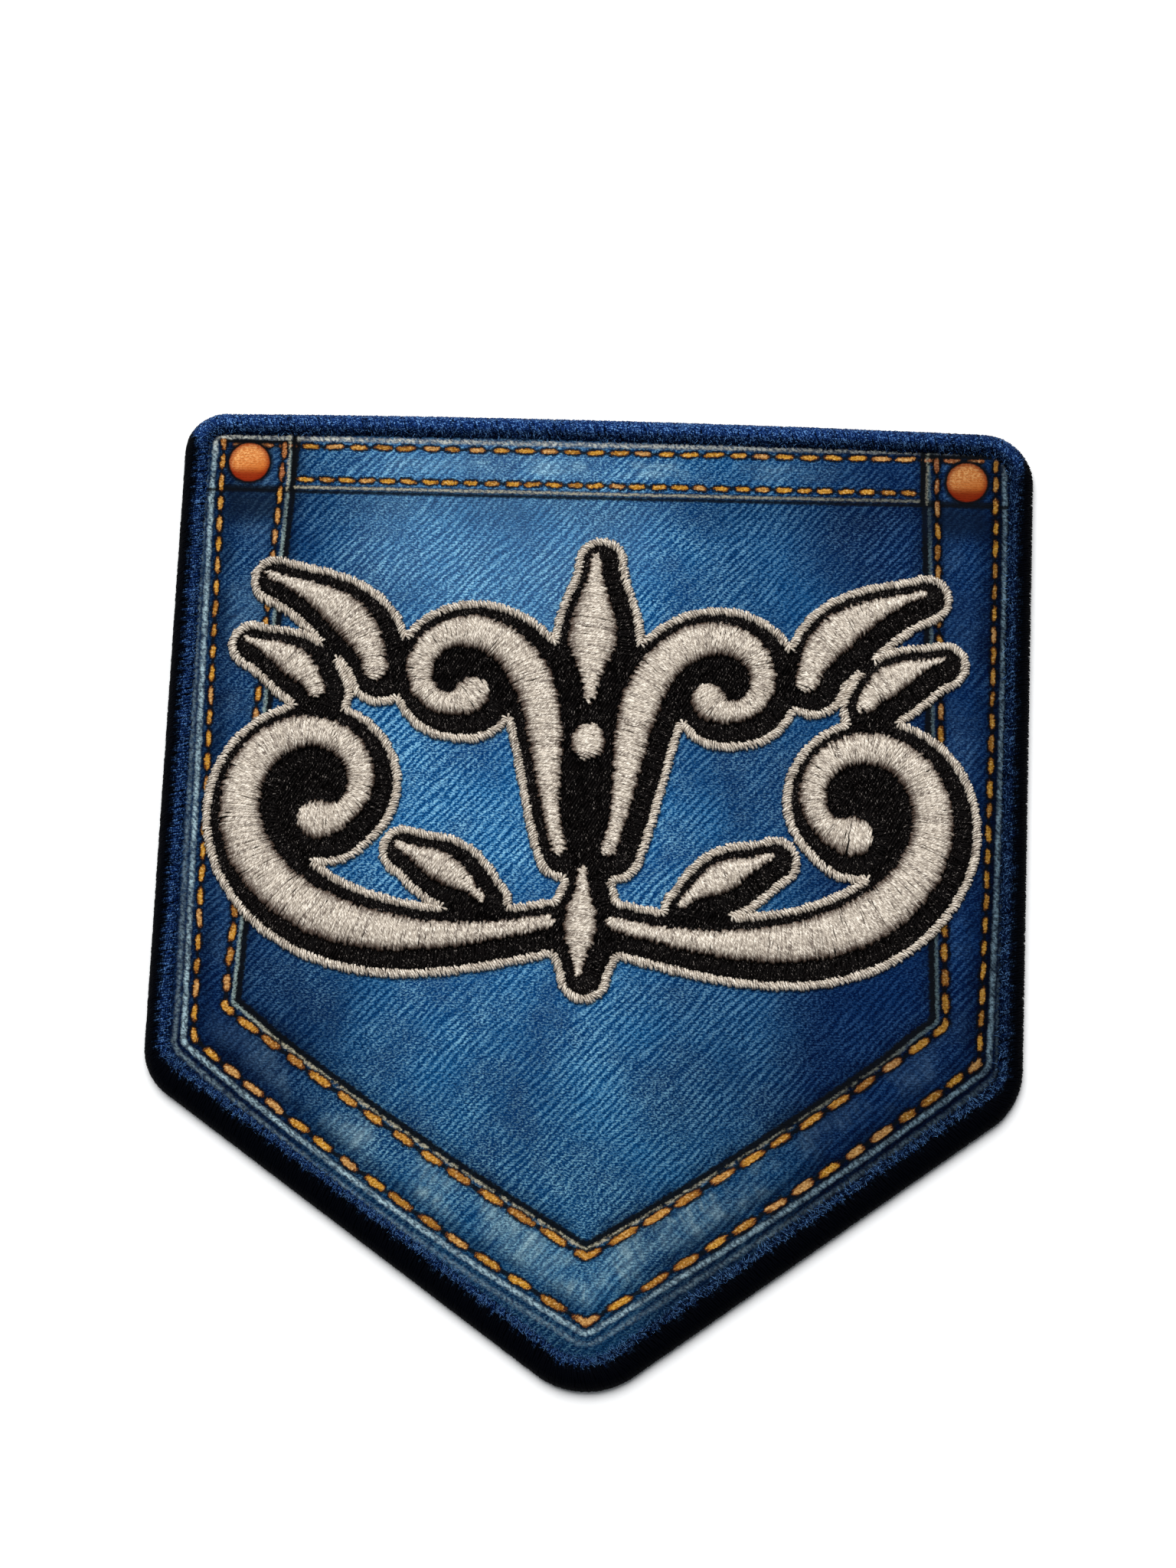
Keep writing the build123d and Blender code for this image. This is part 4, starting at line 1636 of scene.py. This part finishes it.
@dataclass
class SatinThreads:
    """How threads lie across a stroke."""

    pitch: float
    margin: float
    base: float
    rise: float
    lean: float
    ragged: float
    thread_height: float = 0.085
    knots: int = 11
    thread_width: float = 0.78
    full_width: float = 1.5
    dip_chance: float = 0.35
    dip: float = 0.05
    tuck: float = 0.12
    # painted shade of the dome: brightness at the knots nearest each edge, and the side that faces away from
    # the light
    edge_painted_light: tuple[tuple[float, float], ...] = ((0.0, 0.3), (0.3, 0.6), (0.65, 0.95))
    shade_way: tuple[float, float] = (-0.86, -0.5)
    shade: float = 0.55

    def lay(self, line: StrokeLine, draws: np.random.Generator) -> ThreadBundle:
        """The threads of one stroke.

        Args:
            line: the stroke's centre line.
            draws: source of random numbers.

        Returns:
            Threads from the left edge to the right, pressed down at both ends.
        """
        places = line.places(self.pitch, self.margin)
        count = len(places)
        places = places + draws.normal(0, 0.03, count)
        lean = self.lean + draws.normal(0, 0.08, count)
        left = line.side(places + lean / 2, Side.LEFT, self.margin)
        right = line.side(places - lean / 2, Side.RIGHT, self.margin)
        middle = (left + right) / 2
        half = (left - right) / 2
        reach = np.linalg.norm(half, axis=1)
        keep = reach > self.pitch * 0.6
        middle, half, reach = middle[keep], half[keep], reach[keep]
        count = len(reach)
        half *= (1 + np.clip(draws.normal(0, self.ragged, count), -0.25, 0.25) / reach)[:, None]
        across = np.sin(np.linspace(-np.pi / 2, np.pi / 2, self.knots))
        flat = middle[:, None, :] - half[:, None, :] * across[None, :, None]
        ahead = unit(np.stack([-half[:, 1], half[:, 0]], axis=1))
        flat += ahead[:, None, :] * draws.normal(0, 0.05, (count, self.knots, 1))
        rise = self.rise * np.minimum(1, (reach / self.full_width) ** 0.7)
        dome = np.sqrt(np.maximum(1 - np.abs(across) ** 2, 0))
        heights = self.base + rise[:, None] * dome + draws.normal(0, 0.015, (count, 1))
        dips = (draws.random((count, self.knots)) < self.dip_chance) * (np.abs(across) < 0.9)
        heights -= dips * self.dip
        heights[:, [0, -1]] -= self.tuck
        paths = raised(flat, heights)
        spacing = np.linalg.norm(np.gradient(flat, axis=0), axis=2)
        widths = np.clip(spacing * self.thread_width, 0.07, self.pitch)
        # painted shade: darker at the needle dips, towards both edges, and on the side facing away from the
        # light
        nap = 1 - dips * 0.3
        nap[:, [0, -1]] = 0
        for knot, (least, most) in enumerate(self.edge_painted_light, start=1):
            nap[:, [knot, -1 - knot]] = draws.uniform(least, most, (count, 2))
        outward = -unit(half)[:, None, :] * across[None, :, None]
        away = np.maximum(outward @ np.array(self.shade_way), 0)
        nap *= 1 - self.shade * away**1.3
        return ThreadBundle(
            paths=paths,
            half_widths=widths,
            half_heights=np.full(widths.shape, self.thread_height),
            tones=draws.random(count),
            nap=nap,
            sides=5,
        )


@dataclass
class Ornament:
    """The scroll ornament: its strokes, and the shape of the ground and cord that run round them."""

    outline: PocketOutline
    room_beside: float = 2.8
    drop: float = 41.8
    shift: float = -0.8
    stroke_width: float = 5.5
    ground_near: float = 0.7
    shadow: tuple[float, float] = (0.65, -0.6)
    cord_width: float = 0.95
    gap: float = 0.05
    smallest_opening: float = 30.0
    knob_run: float = 1.6
    grid_step: float = 0.15
    grid_room: float = 4.5
    line_step: float = 0.1
    smoothing: int = 14

    def __post_init__(self) -> None:
        """Works out the ornament's size and place, its lines and the field round them."""
        self.ground_margin = self.ground_near + math.hypot(*self.shadow)
        self.cord_outer = self.ground_margin + self.gap + self.cord_width
        self.cord_middle = self.cord_outer - self.cord_width / 2
        beside = self.outline.band_side + self.room_beside + self.cord_outer
        self.width = 2 * (self.outline.half_width - beside)
        self.middle_x = self.shift
        self.middle_y = self.outline.top - self.drop
        self.lines = self.all_lines()
        self.fill_field()

    def line_of(self, stroke: Stroke, name: str) -> StrokeLine:
        """Works out one stroke's centre line.

        Args:
            stroke: the row of the table.
            name: the name of its CAD node.

        Returns:
            The line, its half widths and its turn in radians for each mm.
        """
        length = stroke.length * self.width
        shares = np.linspace(0, 1, max(12, int(length / self.line_step)))
        gain = (stroke.turn_out - stroke.turn_in) * shares ** (stroke.late + 1) / (stroke.late + 1)
        headings = np.radians(stroke.heading + stroke.turn_in * shares + gain)
        middles = (headings[1:] + headings[:-1]) / 2
        runs = np.diff(shares) * length
        start = np.array([self.middle_x + stroke.x * self.width, self.middle_y + stroke.y * self.width])
        steps = runs[:, None] * np.stack([np.cos(middles), np.sin(middles)], axis=1)
        points = start + np.vstack([[0, 0], np.cumsum(steps, axis=0)])
        turns = np.radians(stroke.turn_in + (stroke.turn_out - stroke.turn_in) * shares**stroke.late) / length
        grow = stroke.root + (stroke.belly - stroke.root) * ease(shares / stroke.belly_at)
        past_belly = (shares - stroke.belly_at) / (1 - stroke.belly_at)
        fall = stroke.belly + (stroke.neck - stroke.belly) * ease(past_belly)
        widths = np.where(shares < stroke.belly_at, grow, fall)
        if stroke.knob:
            run = self.knob_run * stroke.knob * self.stroke_width
            widths += (stroke.knob - widths) * ease(1 - (1 - shares) * length / run)
        return StrokeLine(name, shares * length, points, headings, widths * self.stroke_width, turns)

    def all_lines(self) -> list[StrokeLine]:
        """The centre lines of every stroke, mirrored ones on both sides."""
        lines = []
        for stroke in STROKES:
            if stroke.mirrored:
                right = self.line_of(stroke, f"{stroke.name}_right")
                lines += [right, right.mirrored(f"{stroke.name}_left", self.middle_x)]
            else:
                lines.append(self.line_of(stroke, stroke.name))
        return lines

    def fill_field(self) -> None:
        """Fills a grid with the distance to the strokes' edges, where it is small."""
        points = np.concatenate([line.points for line in self.lines])
        reaches = np.concatenate([line.reaches for line in self.lines])
        room = self.grid_room + reaches.max()
        self.origin = points.min(0) - room
        wide, high = ((points.max(0) + room - self.origin) / self.grid_step).astype(int) + 1
        self.field = np.full((wide, high), self.grid_room)
        xs = self.origin[0] + np.arange(wide) * self.grid_step
        ys = self.origin[1] + np.arange(high) * self.grid_step
        for (x, y), reach in zip(points[::2], reaches[::2]):
            near = reach + self.grid_room
            i = np.searchsorted(xs, (x - near, x + near))
            j = np.searchsorted(ys, (y - near, y + near))
            apart = np.hypot(xs[i[0] : i[1], None] - x, ys[None, j[0] : j[1]] - y) - reach
            block = self.field[i[0] : i[1], j[0] : j[1]]
            np.minimum(block, apart, out=block)

    def distance(self, places: np.ndarray) -> np.ndarray:
        """Distance from the moved strokes' edges, in mm, for (n, 2) places."""
        share = (places - self.shadow - self.origin) / self.grid_step
        share = np.clip(share, 0, np.array(self.field.shape) - 1.001)
        low = share.astype(int)
        part = share - low
        i, j = low.T
        u, v = part.T
        return (
            self.field[i, j] * (1 - u) * (1 - v)
            + self.field[i + 1, j] * u * (1 - v)
            + self.field[i, j + 1] * (1 - u) * v
            + self.field[i + 1, j + 1] * u * v
        )

    def contours(self, margin: float, pitch: float) -> list[np.ndarray]:
        """Closed lines round the ornament at a margin, with the strokes on their left.

        Args:
            margin: distance outside the strokes' edges, in mm.
            pitch: distance between the points of a line.

        Returns:
            Lines of (n, 2) points; small openings are left out.
        """
        crossings = {}
        links = {}
        inside = self.field < margin
        cells = inside[:-1, :-1].astype(int) + inside[1:, :-1] * 2 + inside[1:, 1:] * 4 + inside[:-1, 1:] * 8
        corner_steps = ((0, 0), (1, 0), (1, 1), (0, 1))
        for i, j in np.argwhere((cells > 0) & (cells < 15)):
            held = [inside[i + a, j + b] for a, b in corner_steps]
            enter = []
            leave = []
            for number in range(4):
                first = (i + corner_steps[number][0], j + corner_steps[number][1])
                second = (i + corner_steps[(number + 1) % 4][0], j + corner_steps[(number + 1) % 4][1])
                if held[number] == held[(number + 1) % 4]:
                    continue
                key = tuple(sorted((first, second)))
                if key not in crossings:
                    low, high = self.field[key[0]], self.field[key[1]]
                    part = (margin - low) / (high - low)
                    crossings[key] = np.array(key[0]) + part * (np.array(key[1]) - np.array(key[0]))
                (leave if held[number] else enter).append(key)
            for start, end in zip(leave, enter):
                links[start] = end
        lines = []
        while links:
            start, following = links.popitem()
            keys = [start]
            while following != start:
                keys.append(following)
                following = links.pop(following)
            line = self.origin + np.array([crossings[key] for key in keys]) * self.grid_step + self.shadow
            area = area_of(line)
            if area > 0 or -area > self.smallest_opening:
                lines.append(evened(self.smoothed(line), pitch))
        return sorted(lines, key=len, reverse=True)

    def smoothed(self, line: np.ndarray) -> np.ndarray:
        """A closed line without the small steps of the grid."""
        for _ in range(self.smoothing):
            line = (np.roll(line, 1, axis=0) + 2 * line + np.roll(line, -1, axis=0)) / 4
        return line


@dataclass
class Ground:
    """The dark ground: a thin plate, rows of fill stitches, and stitches in from its edge."""

    ornament: Ornament
    pitch: float = 0.33
    row_angle: float = 62.0
    stitch: tuple[float, float] = (2.4, 4.2)
    edge_stitch: tuple[float, float] = (1.8, 3.2)
    shortest: float = 0.4
    edge_turn: tuple[float, float] = (0.12, 0.1)
    thread_height: float = 0.09
    thread_width: float = 0.55
    plate_pitch: float = 0.4
    plate_height: float = 0.16
    fill_level: float = 0.2
    edge_level: float = 0.25
    arch: float = 0.07
    tuck: float = 0.08
    knots: int = 4

    def __post_init__(self) -> None:
        """Reads the ground's levels from the frame."""
        self.bottom = bottom_of("motif_ground")
        self.draws = np.random.default_rng(SEED + 1)

    def plate(self, shape: Shape, loops: list[np.ndarray]) -> None:
        """Adds the closed plate that backs the threads."""
        flat = np.concatenate(loops)
        triangles = np.array(tessellate_polygon([[Vector((*point, 0)) for point in loop] for loop in loops]))
        count = len(flat)
        corner = flat[triangles]
        turned = np.cross(corner[:, 1] - corner[:, 0], corner[:, 2] - corner[:, 0]) < 0
        triangles[turned] = triangles[turned][:, ::-1]
        lower = np.column_stack([flat, np.full(count, self.bottom)])
        upper = np.column_stack([flat, np.full(count, self.bottom + self.plate_height)])
        walls = []
        start = 0
        for loop in loops:
            here = start + np.arange(len(loop))
            following = np.roll(here, -1)
            walls.append(np.column_stack([here, following, following + count, here + count]))
            start += len(loop)
        points = np.vstack([lower, upper])
        thread = np.column_stack([points[:, 0] * 3, points[:, 1] * 0.4, np.full(len(points), 0.3)])
        faces = [triangles[:, ::-1], triangles + count, np.concatenate(walls)]
        # the plate is drawn wholly in the painted shade colour
        shape.add(points, faces, thread=thread, nap=np.zeros((len(points), 3)))

    def stitches(self, starts: np.ndarray, ends: np.ndarray, level: float) -> ThreadBundle:
        """Straight, slightly arched threads between two sets of places."""
        shares = np.linspace(0, 1, self.knots)
        flat = starts[:, None, :] + (ends - starts)[:, None, :] * shares[None, :, None]
        count = len(starts)
        arch = self.arch * np.sin(np.pi * shares) + self.draws.normal(0, 0.012, (count, 1))
        paths = raised(flat, level + arch)
        paths[:, [0, -1], 2] -= self.tuck
        width = self.pitch * self.thread_width
        widths = np.full((count, self.knots), width) * self.draws.uniform(0.85, 1.15, (count, 1))
        heights = np.full(widths.shape, self.thread_height)
        return ThreadBundle(paths, widths, heights, self.draws.random(count), np.ones(widths.shape), sides=4)

    def fill(self, loops: list[np.ndarray]) -> ThreadBundle:
        """Rows of stitches inside the closed lines, each row cut into lengths of its own."""
        turn = math.radians(self.row_angle)
        ahead = np.array([math.cos(turn), math.sin(turn)])
        beside = np.array([-ahead[1], ahead[0]])
        points = np.concatenate(loops)
        following = np.concatenate([np.roll(loop, -1, axis=0) for loop in loops])
        along, off = points @ ahead, points @ beside
        next_along, next_off = following @ ahead, following @ beside
        starts = []
        ends = []
        for offset in np.arange(off.min() + 0.1, off.max(), self.pitch):
            crossing = (off < offset) != (next_off < offset)
            part = (offset - off[crossing]) / (next_off[crossing] - off[crossing])
            edges = np.sort(along[crossing] + part * (next_along[crossing] - along[crossing]))
            for place, limit in edges.reshape(-1, 2):
                while limit - place > self.shortest:
                    reached = min(limit, place + self.draws.uniform(*self.stitch))
                    starts.append(beside * offset + ahead * place)
                    ends.append(beside * offset + ahead * reached)
                    place = reached
        return self.stitches(np.array(starts), np.array(ends), self.bottom + self.fill_level)

    def edging(self, loop: np.ndarray) -> ThreadBundle:
        """Stitches from a closed line into the ground."""
        ahead = ahead_of(loop)
        turn = self.draws.normal(*self.edge_turn, len(loop))
        inward = np.stack([-ahead[:, 1], ahead[:, 0]], axis=1) + ahead * turn[:, None]
        length = self.draws.uniform(*self.edge_stitch, len(loop))[:, None]
        return self.stitches(loop, loop + inward * length, self.bottom + self.edge_level)

    def build(self) -> bpy.types.Object:
        """Makes the ground as one piece."""
        shape = Shape()
        ornament = self.ornament
        loops = ornament.contours(ornament.cord_middle, self.plate_pitch)
        self.plate(shape, loops)
        self.fill(loops).add_to(shape)
        for loop in ornament.contours(ornament.ground_margin + 0.1, self.pitch):
            self.edging(loop).add_to(shape)
        piece = shape.build("dark_ground", BLACK_THREAD.material())
        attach(piece, BODY)
        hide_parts("motif_ground")
        return piece


@dataclass
class OutlineCord:
    """The raised light cord round the ground, of short threads across its line."""

    ornament: Ornament
    pitch: float = 0.29
    lean: float = 0.22
    ragged: float = 0.14
    dome_power: float = 2.2
    thread_height: float = 0.12
    knots: int = 7

    def __post_init__(self) -> None:
        """Reads the cord's levels from the frame."""
        self.bottom = bottom_of("motif_cord")
        self.top = top_of("motif_cord")
        self.draws = np.random.default_rng(SEED + 2)

    def threads(self, line: np.ndarray) -> ThreadBundle:
        """The threads across one closed line."""
        count = len(line)
        ahead = ahead_of(line)
        out = np.stack([ahead[:, 1], -ahead[:, 0]], axis=1)
        half = self.ornament.cord_width / 2
        reach = half + self.draws.uniform(-self.ragged, self.ragged, (count, 2))
        lean = self.lean + self.draws.normal(0, 0.07, count)
        across = np.sin(np.linspace(-np.pi / 2, np.pi / 2, self.knots))
        width = np.where(across < 0, reach[:, :1], reach[:, 1:])
        flat = (
            line[:, None, :]
            + out[:, None, :] * (width * across)[..., None]
            + ahead[:, None, :] * (lean[:, None] * across)[..., None]
        )
        dome = np.sqrt(np.maximum(1 - np.abs(across) ** self.dome_power, 0))
        rise = self.top - self.bottom - self.thread_height
        heights = self.bottom + rise * dome + np.minimum(self.draws.normal(-0.03, 0.03, (count, 1)), 0)
        paths = raised(flat, heights)
        spacing = np.linalg.norm(np.gradient(flat, axis=0), axis=2)
        widths = np.clip(spacing * 0.5, 0.06, self.pitch * 0.6) * self.draws.uniform(0.85, 1.1, (count, 1))
        # painted shade where the threads dive in at both edges
        nap = np.ones(widths.shape)
        nap[:, [0, -1]] = self.draws.uniform(0, 0.5, (count, 2))
        return ThreadBundle(
            paths=paths,
            half_widths=widths,
            half_heights=np.full(widths.shape, self.thread_height),
            tones=self.draws.random(count),
            nap=nap,
            sides=5,
        )

    def build(self) -> bpy.types.Object:
        """Makes the cord as one piece."""
        shape = Shape()
        for line in self.ornament.contours(self.ornament.cord_middle, self.pitch):
            self.threads(line).add_to(shape)
        piece = shape.build("outline_cord", WHITE_THREAD.material())
        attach(piece, BODY)
        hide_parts("motif_cord")
        return piece


@dataclass
class SatinColumn:
    """One domed column of light satin thread."""

    line: StrokeLine
    number: int
    pitch: float = 0.225
    lean: float = 0.5
    margin: float = -0.05
    base_room: float = 0.02
    top_room: float = 0.11
    ragged: float = 0.14

    def build(self, material: bpy.types.Material) -> bpy.types.Object:
        """Makes the column as one piece."""
        base = bottom_of(self.line.name)
        top = top_of(self.line.name)
        satin = SatinThreads(
            pitch=self.pitch,
            margin=self.margin,
            base=base + self.base_room,
            rise=top - base - self.top_room,
            lean=self.lean,
            ragged=self.ragged,
        )
        shape = Shape()
        satin.lay(self.line, np.random.default_rng(SEED + 10 + self.number)).add_to(shape)
        piece = shape.build(f"satin_{self.line.name}", material)
        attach(piece, BODY)
        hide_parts(self.line.name)
        return piece


@dataclass
class Studio:
    """Pale floor, soft light from above the straight edge, and the camera at the photograph's angle."""

    shoulder_y: float
    tilt: float = -14.0005
    roll_x: float = -2.7326
    roll: float = -2.4942
    offset: tuple[float, float, float] = (-0.8523, -35.8288, -488.6995)
    focal_pixels: float = 5500.0
    picture_height: float = 2048.0
    film: float = 36.0
    floor_size: float = 1.6
    floor_drop: float = 0.02
    key_heading: float = 100.0
    key_elevation: float = 65.0
    key_distance: float = 3.0
    key_size: float = 2.6
    key_power: float = 116.0
    fill: float = 0.24
    sky: Colour = (0.9, 0.95, 1.0)

    def camera(self) -> None:
        """Adds the camera."""
        turn = (
            Matrix.Rotation(math.radians(self.roll), 3, "Z")
            @ Matrix.Rotation(math.radians(self.tilt), 3, "X")
            @ Matrix.Rotation(math.radians(self.roll_x), 3, "Y")
        )
        place = -(turn.transposed() @ Vector(self.offset))
        place.y += self.shoulder_y
        data = bpy.data.cameras.new("camera")
        data.lens = self.focal_pixels / self.picture_height * self.film
        data.sensor_width = self.film
        data.sensor_fit = "AUTO"
        data.clip_start = 0.01
        camera = bpy.data.objects.new("camera", data)
        camera.matrix_world = Matrix.Translation(place * METRES) @ turn.transposed().to_4x4()
        bpy.context.scene.collection.objects.link(camera)
        bpy.context.scene.camera = camera

    def lamp(self, name: str, heading: float, elevation: float, power: float, size: float) -> None:
        """Adds an area light that looks at the patch from a heading and elevation in degrees."""
        data = bpy.data.lights.new(name, "AREA")
        data.energy = power
        data.shape = "DISK"
        data.size = size
        flat = math.cos(math.radians(elevation))
        away = Vector(
            (
                flat * math.cos(math.radians(heading)),
                flat * math.sin(math.radians(heading)),
                math.sin(math.radians(elevation)),
            )
        )
        lamp = bpy.data.objects.new(name, data)
        lamp.location = away * self.key_distance
        lamp.rotation_euler = away.to_track_quat("Z", "Y").to_euler()
        bpy.context.scene.collection.objects.link(lamp)

    def floor(self) -> None:
        """Adds the floor."""
        half = self.floor_size / METRES / 2
        level = -self.floor_drop
        corners = [(-half, -half, level), (half, -half, level), (half, half, level), (-half, half, level)]
        shape = Shape()
        shape.add(np.array(corners), [np.arange(4)[None]])
        shape.build("floor", PaleFloor().material())

    def build(self) -> None:
        """Sets up the whole studio."""
        scene = bpy.context.scene
        scene.view_settings.view_transform = "Standard"
        world = bpy.data.worlds.new("studio")
        world.use_nodes = True
        sky = world.node_tree.nodes["Background"]
        sky.inputs["Color"].default_value = (*self.sky, 1.0)
        sky.inputs["Strength"].default_value = self.fill
        scene.world = world
        self.camera()
        self.floor()
        self.lamp("key_light", self.key_heading, self.key_elevation, self.key_power, self.key_size)


def report(piece: bpy.types.Object) -> None:
    """Logs one finished piece."""
    triangles = sum(len(face.vertices) - 2 for face in piece.data.polygons)
    LOG.info("%s: %d triangles", piece.name, triangles)


def main() -> None:
    """Builds the patch and its studio in order."""
    logging.basicConfig(level=logging.INFO, format="%(name)s: %(message)s")
    outline = PocketOutline()
    Studio(outline.shoulder_y).build()
    ornament = Ornament(outline)
    report(FaceCloth(outline).build(ornament))
    report(RolledBorder(outline).build())
    report(Ground(ornament).build())
    report(OutlineCord(ornament).build())
    satin = WHITE_THREAD.material()
    for number, line in enumerate(ornament.lines):
        report(SatinColumn(line, number).build(satin))


if __name__ == "__main__":
    main()
